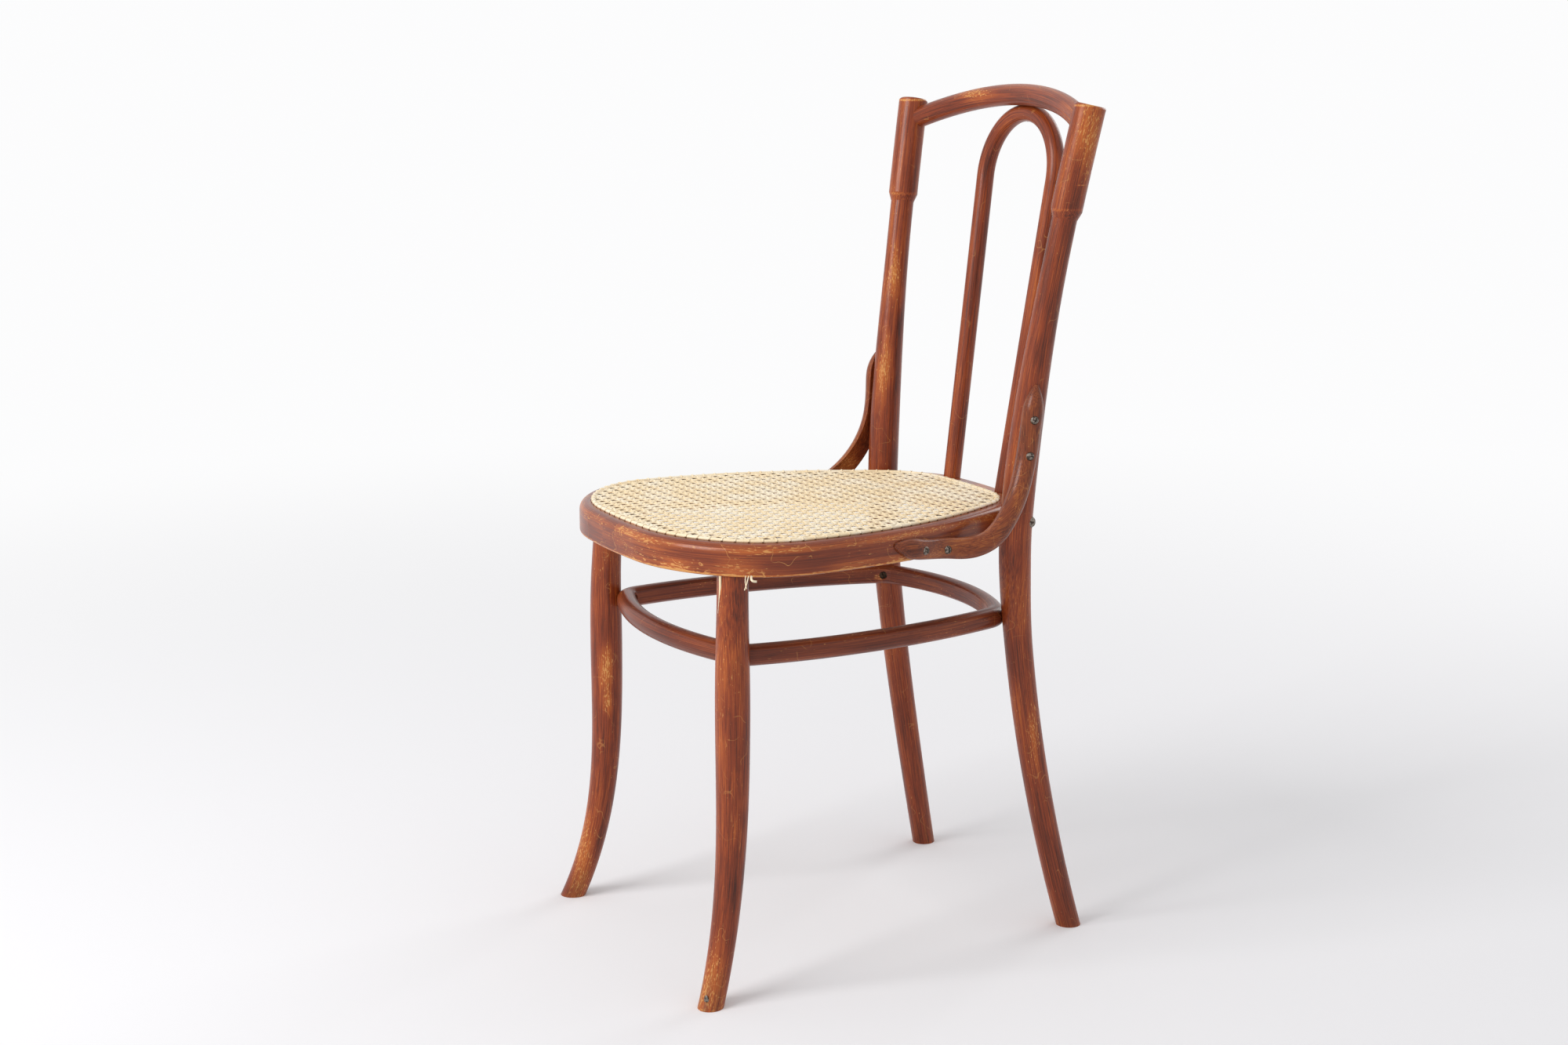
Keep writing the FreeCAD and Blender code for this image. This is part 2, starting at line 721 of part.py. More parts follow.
def brace_section(line, parameter, share):
    """Flat on the side that beds, round on the other, with a short straight edge."""
    spot, run, outward, across = brace_frame(line, parameter)
    half = BRACE_WIDTH / 2 * share
    back = spot - outward * (BRACE_THICKNESS / 2)
    edge = outward * (BRACE_EDGE * share)
    crest = back + outward * (BRACE_THICKNESS * share)
    corners = [back - across * half, back + across * half]
    shoulders = [corner + edge for corner in corners]
    return Part.Wire([
        Part.LineSegment(corners[0], corners[1]).toShape(),
        Part.LineSegment(corners[1], shoulders[1]).toShape(),
        Part.Arc(shoulders[1], crest, shoulders[0]).toShape(),
        Part.LineSegment(shoulders[0], corners[0]).toShape(),
    ])


def brace_blank():
    line = brace_line()[0]
    length = line.length()
    wires = []
    for step in spaced(0.0, 1.0, BRACE_SECTIONS):
        wires.append(brace_wire_at(line, length, length * brace_spacing(step)))
    return Part.makeLoft(wires, True, False)


def brace_spacing(step):
    """Sections stand closer together towards both tips."""
    return (1 - math.cos(math.pi * step)) / 2


def brace_wire_at(line, length, distance):
    parameter = line.parameterAtDistance(distance, line.FirstParameter)
    from_tip = min(distance, length - distance)
    share = 1.0
    if from_tip < BRACE_TIP_LENGTH:
        fall = 1 - from_tip / BRACE_TIP_LENGTH
        share = mix(BRACE_TIP_SHARE, 1.0, 1 - fall * fall)
    return brace_section(line, parameter, share)


def brace_screw_seats():
    """Centre under each screw head on the right brace, and the direction inward."""
    found = brace_line()
    line = found[0]
    seats = []
    for spot in found[1:]:
        place, run, outward, across = brace_frame(line, line.parameter(spot))
        start = place + outward * (BRACE_THICKNESS / 2 - HEAD_SINK)
        seats.append((start, outward * -1))
    return seats


# Fasteners


def aimed(shape, start, direction):
    """Turn a fastener drawn down -Z from the origin to run this way from start."""
    placed = shape.copy()
    placed.Placement = FreeCAD.Placement(start, FreeCAD.Rotation(UP * -1, direction))
    return placed


def slot(top, turn):
    reach = BOLT_HEAD_DIA
    cut = Part.makeBox(2 * reach, SLOT_WIDTH, SLOT_DEPTH * 2, vec(-reach, -SLOT_WIDTH / 2, top - SLOT_DEPTH))
    cut.rotate(ORIGIN, UP, turn)
    return cut


def domed_head(diameter, height):
    radius = diameter / 2
    rim = vec(radius, 0, 0)
    shoulder = vec(radius / math.sqrt(2), 0, height / math.sqrt(2))
    top = vec(0, 0, height)
    dome = Part.Arc(rim, shoulder, top).toShape()
    floor = Part.LineSegment(ORIGIN, rim).toShape()
    axis = Part.LineSegment(top, ORIGIN).toShape()
    return Part.Face(Part.Wire([floor, dome, axis])).revolve(ORIGIN, UP, 360)


def round_screw(turn):
    shank = cylinder(ORIGIN, UP * -1, SCREW_SHANK_DIA / 2, SCREW_LENGTH)
    head = domed_head(SCREW_HEAD_DIA, SCREW_HEAD_HEIGHT)
    return head.fuse(shank).cut(slot(SCREW_HEAD_HEIGHT, turn))


def countersunk_screw(length, turn):
    radius = SCREW_HEAD_DIA / 2
    shank = cylinder(ORIGIN, UP * -1, SCREW_SHANK_DIA / 2, length)
    head = Part.makeCone(radius, SCREW_SHANK_DIA / 2, SCREW_HEAD_HEIGHT, ORIGIN, UP * -1)
    return head.fuse(shank).cut(slot(0.0, turn))


def countersunk_room(length):
    """What a countersunk screw takes out of the wood, with its fit all round."""
    radius = SCREW_HEAD_DIA / 2 + FIT_GAP
    narrow = SCREW_SHANK_DIA / 2 + FIT_GAP
    shank = cylinder(ORIGIN, UP * -1, narrow, length + FIT_GAP)
    head = Part.makeCone(radius, narrow, SCREW_HEAD_HEIGHT + FIT_GAP, ORIGIN, UP * -1)
    return shank.multiFuse([head, cylinder(ORIGIN, UP, radius, SCREW_HEAD_DIA)])


def round_screw_room():
    """Hole for the shank and a flat seat under the round head."""
    shank = cylinder(ORIGIN, UP * -1, SCREW_SHANK_DIA / 2 + FIT_GAP, SCREW_LENGTH + FIT_GAP)
    return shank.fuse(cylinder(ORIGIN, UP, SCREW_HEAD_DIA / 2 + FIT_GAP, SCREW_HEAD_HEIGHT * 2))


def stretcher_screw_seats():
    """Screw heads on the right half of the stretcher ring, with their directions."""
    seats = []
    inward = STRETCHER_RADIUS - STRETCHER_FLAT_DEPTH - HEAD_SINK
    for heading in (FRONT_LEG_STRETCHER_HEADING, POST_STRETCHER_HEADING):
        start = STRETCHER.point(heading, -inward, STRETCHER_HEIGHT)
        seats.append((start, heading_normal(heading)))
    return seats


def bolt_line():
    """Right seat bolt: underside of the head, direction, and run to the washer."""
    direction = heading_normal(BOLT_HEADING) * -1
    post = post_path(BOLT_HEIGHT)
    start = post - direction * (post_radius(BOLT_HEIGHT) - BOLT_SEAT_DEPTH)
    depth = SEAT_RING_WIDTH - WASHER_SEAT_DEPTH

    def is_before_washer(run):
        spot = start + direction * run
        return not SEAT.holds(spot.x, spot.y, depth)

    return start, direction, halved(0.0, POST_SEAT_DIA + 2 * SEAT_RING_WIDTH, is_before_washer)


def bolt_room():
    """Hole right through, with flat seats for the head and the washer."""
    start, direction, run = bolt_line()
    hole = cylinder(start - direction * BOLT_DIA, direction, BOLT_DIA / 2 + FIT_GAP, run + 2 * BOLT_DIA)
    head = cylinder(start, direction * -1, BOLT_HEAD_DIA / 2 + FIT_GAP, BOLT_HEAD_DIA)
    washer = cylinder(start + direction * run, direction, WASHER_DIA / 2 + FIT_GAP, WASHER_DIA)
    return hole.multiFuse([head, washer])


def seat_bolt():
    start, direction, run = bolt_line()
    length = run + WASHER_THICKNESS + NUT_HEIGHT + BOLT_PAST_NUT
    shank = cylinder(ORIGIN, UP * -1, BOLT_DIA / 2, length)
    head = domed_head(BOLT_HEAD_DIA, BOLT_HEAD_HEIGHT)
    return aimed(head.fuse(shank).cut(slot(BOLT_HEAD_HEIGHT, BOLT_TURN)), start, direction)


def bored(shape):
    """Open a washer or nut for its bolt."""
    return shape.cut(cylinder(vec(0, 0, -WASHER_DIA), UP, BOLT_DIA / 2 + FIT_GAP, 2 * WASHER_DIA))


def seat_bolt_washer():
    start, direction, run = bolt_line()
    disc = cylinder(ORIGIN, UP * -1, WASHER_DIA / 2, WASHER_THICKNESS)
    return aimed(bored(disc), start + direction * run, direction)


def seat_bolt_nut():
    start, direction, run = bolt_line()
    corner = NUT_ACROSS_FLATS / math.sqrt(3)
    turns = [math.radians(60 * side) for side in range(7)]
    outline = [vec(corner * math.cos(turn), corner * math.sin(turn), 0) for turn in turns]
    block = Part.Face(Part.makePolygon(outline)).extrude(UP * -NUT_HEIGHT)
    return aimed(bored(block), start + direction * (run + WASHER_THICKNESS), direction)


# Cane


def cane_gap(x, y):
    """One eight-sided gap of the weave, as a wire."""
    half = CANE_GAP / 2
    short = half - CANE_GAP_CUT
    corners = [(half, -short), (half, short), (short, half), (-short, half)]
    corners += [(-half, short), (-half, -short), (-short, -half), (short, -half), (half, -short)]
    return Part.makePolygon([vec(x + dx, y + dy, SEAT_TOP) for dx, dy in corners])


def cane_panel():
    """The weave as one sheet, with a grid of gaps over the opening of the ring."""
    inset = SEAT_RING_WIDTH + CANE_WOOD_MARGIN + CANE_GAP / 2
    middle_y = (SEAT.point(0.0, 0, 0).y + SEAT.point(180.0, 0, 0).y) / 2
    reach = int(SEAT_HALF_WIDTH / CANE_PITCH) + 3
    gaps = []
    for column in range(-reach, reach + 1):
        for row in range(-reach, reach + 1):
            x, y = column * CANE_PITCH, middle_y + row * CANE_PITCH
            if SEAT.holds(x, y, inset):
                gaps.append(cane_gap(x, y))
    sheet = Part.makeFace([CANE.wire(0.0, SEAT_TOP)] + gaps, "Part::FaceMakerBullseye")
    return sheet.extrude(UP * CANE_THICKNESS)


def cane_binder():
    def section(radius):
        low = SEAT_TOP + CANE_THICKNESS
        high = low + BINDER_THICKNESS
        inner = radius - BINDER_WIDTH
        spots = [(radius, low), (radius, high), (inner, high), (inner, low), (radius, low)]
        return Part.makePolygon([vec(x, 0, z) for x, z in spots])
    return CANE.ring(section)


# Assembly


def both_sides(shapes):
    return Part.makeCompound(shapes + [mirrored(shape) for shape in shapes])


def build():
    """All pieces by name, in the frame where the seat is widest at y = 0."""
    post_room = post_blank(FIT_GAP)
    seat_room = seat_ring_blank(FIT_GAP)
    stretcher_room = stretcher_ring_blank(FIT_GAP)
    bolt_holes = bolt_room()
    brace_seats = brace_screw_seats()
    brace_holes = [aimed(round_screw_room(), *seat) for seat in brace_seats]
    stretcher_seats = stretcher_screw_seats()
    stretcher_holes = [
        aimed(countersunk_room(STRETCHER_SCREW_LENGTH), *seat) for seat in stretcher_seats
    ]
    hoop_hole = aimed(countersunk_room(HOOP_SCREW_LENGTH), *hoop_screw_seat())
    pieces = {}

    seat_tools = [post_room, bolt_holes, front_tenon(FIT_GAP), hoop_tenon(FIT_GAP)] + brace_holes[:2]
    seat_tools += [mirrored(tool) for tool in seat_tools]
    pieces["seat_ring"] = seat_ring_blank(0.0).cut(seat_tools)
    pieces["cane_panel"] = cane_panel()
    pieces["cane_binder"] = cane_binder()

    front_leg = front_leg_blank().fuse(front_tenon(0.0)).removeSplitter()
    front_leg = front_leg.cut([stretcher_room, stretcher_holes[0]])
    pieces["front_leg_left"] = front_leg
    pieces["front_leg_right"] = mirrored(front_leg)

    post_tools = [stretcher_room, stretcher_holes[1], bolt_holes, rail_tenon(FIT_GAP)] + brace_holes[2:]
    post = post_blank(0.0).cut(post_tools)
    pieces["back_post_left"] = post
    pieces["back_post_right"] = mirrored(post)

    rail = top_rail_blank().cut([post_room, mirrored(post_room)])
    rail = rail.multiFuse([rail_tenon(0.0), mirrored(rail_tenon(0.0))]).removeSplitter()
    pieces["top_rail"] = rail.cut(hoop_hole)

    hoop = back_hoop_blank().cut(seat_room)
    hoop = hoop.multiFuse([hoop_tenon(0.0), mirrored(hoop_tenon(0.0))]).removeSplitter()
    pieces["back_hoop"] = hoop.cut(hoop_hole)

    stretcher_tools = stretcher_holes + [mirrored(hole) for hole in stretcher_holes]
    pieces["stretcher_ring"] = stretcher_ring_blank(0.0).cut(stretcher_tools)

    brace = brace_blank().cut([post_room, seat_room] + brace_holes)
    pieces["brace_left"] = brace
    pieces["brace_right"] = mirrored(brace)

    screws = []
    for index, seat in enumerate(brace_seats):
        screws.append(aimed(round_screw(SCREW_TURNS[index]), *seat))
    pieces["brace_screws"] = both_sides(screws)
    screws = []
    for index, seat in enumerate(stretcher_seats):
        screw = countersunk_screw(STRETCHER_SCREW_LENGTH, SCREW_TURNS[index])
        screws.append(aimed(screw, *seat))
    pieces["stretcher_screws"] = both_sides(screws)
    pieces["hoop_top_screw"] = aimed(countersunk_screw(HOOP_SCREW_LENGTH, 0.0), *hoop_screw_seat())
    pieces["seat_bolts"] = both_sides([seat_bolt()])
    pieces["seat_bolt_washers"] = both_sides([seat_bolt_washer()])
    pieces["seat_bolt_nuts"] = both_sides([seat_bolt_nut()])
    return pieces


def main():
    os.makedirs("parts", exist_ok=True)
    pieces = build()
    box = Part.makeCompound(list(pieces.values())).optimalBoundingBox(False, False)
    shift = vec(0, -box.Center.y, 0)
    for name, shape in pieces.items():
        moved = shape.copy()
        moved.translate(shift)
        if len(moved.Solids) == 1:
            moved = moved.Solids[0]
        moved.exportStep("parts/" + name + ".step")
        solids = len(moved.Solids)
        print(name, "solids", solids, "volume", round(moved.Volume), "valid", moved.isValid())
    print("size", round(box.XLength, 1), round(box.YLength, 1), round(box.ZLength, 1))
    print("widest line of the seat is at y", round(shift.y, 2))


main()
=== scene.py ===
"""Looks of the bentwood chair: stained wood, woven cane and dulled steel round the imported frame."""

import logging
import math
from dataclasses import dataclass, field, replace
from enum import Enum
from functools import cached_property

import bpy
import numpy as np
from mathutils import Matrix, Vector


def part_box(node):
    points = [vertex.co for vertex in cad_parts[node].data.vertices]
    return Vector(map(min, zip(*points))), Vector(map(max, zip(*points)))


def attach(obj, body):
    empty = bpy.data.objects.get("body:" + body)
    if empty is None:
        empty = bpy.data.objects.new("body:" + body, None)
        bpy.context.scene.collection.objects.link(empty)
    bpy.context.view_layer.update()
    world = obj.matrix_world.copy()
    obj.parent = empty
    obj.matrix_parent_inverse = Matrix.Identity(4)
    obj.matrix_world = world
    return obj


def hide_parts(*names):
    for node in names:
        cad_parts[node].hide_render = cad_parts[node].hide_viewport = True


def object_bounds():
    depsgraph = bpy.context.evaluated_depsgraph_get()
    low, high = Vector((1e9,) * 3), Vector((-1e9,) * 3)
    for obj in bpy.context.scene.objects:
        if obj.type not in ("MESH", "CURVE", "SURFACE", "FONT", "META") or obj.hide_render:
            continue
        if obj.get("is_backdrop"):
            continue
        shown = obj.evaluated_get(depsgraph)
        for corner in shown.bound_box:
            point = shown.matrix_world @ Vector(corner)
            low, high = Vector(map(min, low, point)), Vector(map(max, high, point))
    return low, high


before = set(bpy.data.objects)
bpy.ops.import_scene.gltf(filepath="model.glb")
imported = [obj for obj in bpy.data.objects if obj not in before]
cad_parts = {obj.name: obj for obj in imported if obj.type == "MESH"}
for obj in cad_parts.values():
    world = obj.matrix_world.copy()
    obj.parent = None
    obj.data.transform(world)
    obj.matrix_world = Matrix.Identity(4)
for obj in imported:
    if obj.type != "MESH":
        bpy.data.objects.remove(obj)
CAD_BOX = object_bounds()
BODY = "root"
MM = 0.001
UP = np.array([0.0, 0.0, 1.0])

Colour = tuple[float, float, float, float]
Point = tuple[float, float, float]
Pair = tuple[float, float]
Box = tuple[Vector, Vector]
log = logging.getLogger("chair")


def srgb(red: int, green: int, blue: int) -> Colour:
    """Turn a display colour, 0 to 255, into the linear colour that a shader takes.

    The curve is that of displays: a straight toe, and a power of 2.4 above it.

    Args:
        red, green, blue: The display values.

    Returns:
        Linear red, green, blue and a full alpha.
    """
    parts = [value / 255 for value in (red, green, blue)]
    linear = [v / 12.92 if v <= 0.04045 else ((v + 0.055) / 1.055) ** 2.4 for v in parts]
    return linear[0], linear[1], linear[2], 1.0


class Signal:
    """A number that varies over a surface, held as a node's output socket."""

    def __init__(self, bench: "Bench", socket: bpy.types.NodeSocket) -> None:
        """Keep the socket and the bench that adds nodes to it."""
        self.bench = bench
        self.socket = socket

    def __add__(self, other: "Signal | float") -> "Signal":
        """Sum."""
        return self.bench.math("ADD", self, other)

    __radd__ = __add__

    def __sub__(self, other: "Signal | float") -> "Signal":
        """Difference."""
        return self.bench.math("SUBTRACT", self, other)

    def __rsub__(self, other: "Signal | float") -> "Signal":
        """Difference with the number first."""
        return self.bench.math("SUBTRACT", other, self)

    def __mul__(self, other: "Signal | float") -> "Signal":
        """Product."""
        return self.bench.math("MULTIPLY", self, other)

    __rmul__ = __mul__

    def __truediv__(self, other: "Signal | float") -> "Signal":
        """Quotient."""
        return self.bench.math("DIVIDE", self, other)

    def __pow__(self, power: float) -> "Signal":
        """Power of a value that is not negative."""
        return self.bench.math("POWER", self, power)

    def __abs__(self) -> "Signal":
        """Size without the sign."""
        return self.bench.math("ABSOLUTE", self)

    def over(self, low: float) -> "Signal":
        """The value, but never under this one."""
        return self.bench.math("MAXIMUM", self, low)

    def under(self, high: float) -> "Signal":
        """The value, but never over this one."""
        return self.bench.math("MINIMUM", self, high)

    def swing(self, weight: float) -> "Signal":
        """How far the value is from one half, times the weight."""
        return (self - 0.5) * weight


Value = Signal | bpy.types.NodeSocket | float | tuple


class Bench:
    """A node tree under construction, with the few calls that its recipes need."""

    def __init__(self, tree: bpy.types.NodeTree) -> None:
        """Take over a tree and empty it."""
        self.tree = tree
        self.tree.nodes.clear()

    def node(
        self,
        kind: str,
        settings: dict[str, object] | None = None,
        inputs: dict[int | str, Value] | None = None,
    ) -> bpy.types.Node:
        """Add a node.

        Args:
            kind: The node's type without its leading ShaderNode.
            settings: Its properties, set first; stops are a ramp's places and colours.
            inputs: Value or link of each named or numbered socket.

        Returns:
            The new node.
        """
        made = self.tree.nodes.new("ShaderNode" + kind)
        for name, value in (settings or {}).items():
            if name == "stops":
                self.set_stops(made.color_ramp, value)
            else:
                setattr(made, name, value)
        for key, value in (inputs or {}).items():
            if isinstance(value, Signal):
                self.tree.links.new(value.socket, made.inputs[key])
            elif isinstance(value, bpy.types.NodeSocket):
                self.tree.links.new(value, made.inputs[key])
            else:
                made.inputs[key].default_value = value
        return made

    @staticmethod
    def set_stops(ramp: bpy.types.ColorRamp, stops: list[tuple[float, Colour]]) -> None:
        """Give a colour ramp its stops.

        Args:
            ramp: The ramp, with any stops.
            stops: Place and colour of each stop that it gets.
        """
        while len(ramp.elements) > 1:
            ramp.elements.remove(ramp.elements[-1])
        ramp.elements[0].position, ramp.elements[0].color = stops[0]
        for place, colour in stops[1:]:
            ramp.elements.new(place).color = colour

    def math(self, operation: str, *values: Signal | float) -> Signal:
        """Add a Math node on one or more values."""
        made = self.node("Math", {"operation": operation}, dict(enumerate(values)))
        return Signal(self, made.outputs[0])

    def length(self, *parts: Signal) -> Signal:
        """Root of the sum of the parts' squares."""
        squares = [part * part for part in parts]
        return self.math("SQRT", sum(squares[1:], squares[0]))

    def parts(self, vector: bpy.types.NodeSocket) -> tuple[Signal, Signal, Signal]:
        """The three numbers of a vector."""
        split = self.node("SeparateXYZ", None, {0: vector})
        return tuple(Signal(self, split.outputs[axis]) for axis in range(3))

    @cached_property
    def place(self) -> tuple[Signal, Signal, Signal]:
        """The point on the object, in metres."""
        return self.parts(self.node("TexCoord").outputs["Object"])

    def vector(self, x: Value, y: Value, z: Value) -> bpy.types.NodeSocket:
        """Three values as one vector."""
        return self.node("CombineXYZ", None, {0: x, 1: y, 2: z}).outputs[0]

    def noise(self, vector: Value, detail: float) -> Signal:
        """Cloudy noise, one cell to a unit of the vector, mostly 0.3 to 0.7."""
        inputs = {"Vector": vector, "Scale": 1.0, "Detail": detail, "Roughness": 0.5}
        return Signal(self, self.node("TexNoise", None, inputs).outputs[0])

    def cloud(self, size: float, detail: float) -> Signal:
        """Noise through the object, in cells of this size."""
        return self.noise(self.vector(*(axis / size for axis in self.place)), detail)

    def ease(self, value: Signal, low: float, high: float) -> Signal:
        """Ease a value from 0 at low to 1 at high, with level ends.

        Args:
            value: The value.
            low: Where the result is 0. It may be the larger of the two.
            high: Where the result is 1.

        Returns:
            The eased value.
        """
        start, stop, first, last = (low, high, 0.0, 1.0) if low < high else (high, low, 1.0, 0.0)
        inputs = {0: value, 1: start, 2: stop, 3: first, 4: last}
        made = self.node("MapRange", {"interpolation_type": "SMOOTHSTEP"}, inputs)
        return Signal(self, made.outputs[0])

    def blend(self, share: Value, first: Value, second: Value) -> bpy.types.NodeSocket:
        """Colour that goes from the first to the second with the share."""
        inputs = {0: share, 6: first, 7: second}
        return self.node("Mix", {"data_type": "RGBA"}, inputs).outputs[2]

    def ramp(self, value: Signal, stops: list[tuple[float, Colour]]) -> bpy.types.NodeSocket:
        """Colour picked from the stops by the value."""
        return self.node("ValToRGB", {"stops": stops}, {0: value}).outputs[0]

    def bump(self, height: Signal, depth: float) -> bpy.types.NodeSocket:
        """Normal of a surface raised by the height, 0 to 1, times the depth in metres."""
        inputs = {"Strength": 1.0, "Distance": depth, "Height": height}
        return self.node("Bump", None, inputs).outputs[0]


class MaterialBench(Bench):
    """The node tree of a new material."""

    def __init__(self, name: str) -> None:
        """Start a material.

        Args:
            name: Its name.
        """
        self.material = bpy.data.materials.new(name)
        self.material.use_nodes = True
        super().__init__(self.material.node_tree)

    def finish(self, sockets: dict[str, Value]) -> bpy.types.Material:
        """Close the material with a Principled shader.

        Args:
            sockets: Values or links of the shader's sockets.

        Returns:
            The material.
        """
        shader = self.node("BsdfPrincipled", None, sockets)
        self.node("OutputMaterial", None, {"Surface": shader.outputs[0]})
        return self.material


@dataclass(frozen=True)
class Corner:
    """The tight arc of one quarter of an outline: radius and the two headings it spans."""

    radius: float
    start: float
    stop: float

    def inward(self, distance: float) -> "Corner":
        """The same corner on the outline that lies this far inside."""
        return replace(self, radius=self.radius - distance)


@dataclass(frozen=True)
class Arc:
    """One arc of an outline's half on the +X side: centre, radius and headings in degrees."""

    x: float
    y: float
    radius: float
    start: float
    stop: float


class EggOutline:
    """A closed egg shape of tangent arcs, the same left and right.

    A heading runs from 0 at the front centre over 180 at the rear centre to 360.
    """

    MEASURE_STEPS = 7200

    def __init__(
        self, half_width: float, widest_y: float, reach: Pair, corners: tuple[Corner, Corner]
    ) -> None:
        """Work out the arcs of both quarters, the rear one mirrored from front to back.

        Args:
            half_width: From the middle line to the side.
            widest_y: Where the outline is widest.
            reach: From there to the front and to the rear.
            corners: The front and the rear corner arc.
        """
        self.half_width = half_width
        front, rear = (self.quarter(half_width, *half) for half in zip(reach, corners))
        self.arcs = [replace(arc, y=widest_y + arc.y) for arc in front]
        self.arcs += [
            Arc(arc.x, widest_y - arc.y, arc.radius, 180.0 - arc.stop, 180.0 - arc.start)
            for arc in reversed(rear)
        ]

    @staticmethod
    def quarter(half_width: float, reach: float, corner: Corner) -> list[Arc]:
        """Work out the three arcs from the end of the egg to its widest line.

        The end's arc and the side's arc are tangent to the corner's. What the corner
        leaves of the quarter's run and rise gives two equations in their two radii.

        Args:
            half_width: The quarter's run, from the middle line to the side.
            reach: Its rise, from the end to the widest line.
            corner: The corner arc.

        Returns:
            Arcs of the end, the corner and the side, with y from the widest line.
        """
        sin_a, cos_a = math.sin(math.radians(corner.start)), math.cos(math.radians(corner.start))
        sin_b, cos_b = math.sin(math.radians(corner.stop)), math.cos(math.radians(corner.stop))
        run = half_width - corner.radius * (sin_b - sin_a)
        rise = reach - corner.radius * (cos_a - cos_b)
        base = sin_a * cos_b - (1 - sin_b) * (1 - cos_a)
        end = (run * cos_b - (1 - sin_b) * rise) / base
        side = (sin_a * rise - (1 - cos_a) * run) / base
        corner_x = (end - corner.radius) * sin_a
        corner_y = end - reach - (end - corner.radius) * cos_a
        side_x = corner_x + (corner.radius - side) * sin_b
        side_y = corner_y - (corner.radius - side) * cos_b
        return [
            Arc(0.0, end - reach, end, 0.0, corner.start),
            Arc(corner_x, corner_y, corner.radius, corner.start, corner.stop),
            Arc(side_x, side_y, side, corner.stop, 90.0),
        ]

    def points(self, headings: np.ndarray, outward: float = 0.0) -> np.ndarray:
        """Find points this far outside the outline.

        Each lies on its arc's circle, centre plus radius times the heading's normal.

        Args:
            headings: Headings in degrees, 0 to 360.
            outward: Distance outside the outline.

        Returns:
            An array of x and y, one row to a heading.
        """
        half = np.where(headings > 180.0, 360.0 - headings, headings)
        spots = np.zeros((len(headings), 2))
        for arc in self.arcs:
            inside = (half >= arc.start) & (half <= arc.stop)
            turn = np.radians(half[inside])
            reach = arc.radius + outward
            spots[inside, 0] = arc.x + reach * np.sin(turn)
            spots[inside, 1] = arc.y - reach * np.cos(turn)
        spots[:, 0] *= np.where(headings > 180.0, -1.0, 1.0)
        return spots

    def measured(self, outward: float) -> tuple[np.ndarray, np.ndarray]:
        """Measure the way round at a distance outside the outline.

        Args:
            outward: That distance.

        Returns:
            Closely spaced headings, and the way to each from the front centre.
        """
        headings = np.linspace(0.0, 360.0, self.MEASURE_STEPS + 1)
        steps = np.diff(self.points(headings, outward), axis=0)
        return headings, np.concatenate([[0.0], np.cumsum(np.hypot(*steps.T))])

    def length(self, outward: float) -> float:
        """The whole way round, this far outside the outline."""
        return float(self.measured(outward)[1][-1])

    def evenly(self, count: int, outward: float) -> np.ndarray:
        """Headings of this many points, evenly spaced this far outside the outline."""
        headings, way = self.measured(outward)
        return np.interp(np.arange(count) * way[-1] / count, way, headings)

    def outside(self, bench: Bench, x: Signal, y: Signal) -> Signal:
        """Find a point's distance outside the outline in the shader.

        Arc by arc, it is the distance to the centre less the radius, taken up where the
        point is past the line through the centre at the arc's first heading.

        Args:
            bench: The material that needs it.
            x, y: The point in plan.

        Returns:
            The distance, negative inside.
        """
        side = abs(x)
        away = [bench.length(side - arc.x, y - arc.y) - arc.radius for arc in self.arcs]
        found = away[0]
        for arc, reach in zip(self.arcs[1:], away[1:]):
            turn = math.radians(arc.start)
            ahead = (y - arc.y) * math.sin(turn) + (side - arc.x) * math.cos(turn)
            found = found + bench.math("GREATER_THAN", ahead, 0.0) * (reach - found)
        return found


def outline_in(box: Box, inset: float, widest_y: float, corners: tuple[Corner, Corner]) -> EggOutline:
    """The outline in plan this far inside a ring's box, widest at widest_y, with these corners."""
    reach = (widest_y - box[0].y - inset, box[1].y - inset - widest_y)
    return EggOutline(box[1].x - inset, widest_y, reach, corners)


SEAT_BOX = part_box("seat_ring")
STRETCHER_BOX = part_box("stretcher_ring")
RAIL_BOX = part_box("top_rail")
HOOP_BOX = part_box("back_hoop")
PANEL_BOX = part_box("cane_panel")

SEAT_TO_FRONT = 130.0 * MM
SEAT_WIDEST_Y = SEAT_BOX[0].y + SEAT_TO_FRONT
SEAT_CORNERS = (Corner(165.0 * MM, 4.0, 46.0), Corner(89.0 * MM, 4.0, 58.0))
SEAT_OUTLINE = outline_in(SEAT_BOX, 0.0, SEAT_WIDEST_Y, SEAT_CORNERS)
CANE_BAND = SEAT_BOX[1].x - PANEL_BOX[1].x
CANE_CORNERS = (SEAT_CORNERS[0].inward(CANE_BAND), SEAT_CORNERS[1].inward(CANE_BAND))
CANE_OUTLINE = outline_in(PANEL_BOX, 0.0, SEAT_WIDEST_Y, CANE_CORNERS)
BAR_RADIUS = 11.0 * MM
STRETCHER_TO_FRONT = 129.0 * MM
STRETCHER_WIDEST_Y = STRETCHER_BOX[0].y + BAR_RADIUS + STRETCHER_TO_FRONT
STRETCHER_CORNERS = (Corner(20.0 * MM, 21.7, 80.5), Corner(27.3 * MM, 24.8, 73.4))
STRETCHER_OUTLINE = outline_in(STRETCHER_BOX, BAR_RADIUS, STRETCHER_WIDEST_Y, STRETCHER_CORNERS)


class Run(Enum):
    """Which bent member the fibres follow."""

    FRONT_LEG = "front_leg"
    POST = "post"
    SEAT_RING = "seat_ring"
    STRETCHER = "stretcher"
    RAIL = "rail"
    HOOP = "hoop"
    BRACE = "brace"


class Side(Enum):
    """The sitter's side, by the sign of x there."""

    LEFT = 1.0
    RIGHT = -1.0


@dataclass(frozen=True)
class Fibres:
    """Coordinates that follow a bent member: two across the fibres and one along them."""

    across: Signal
    through: Signal
    along: Signal


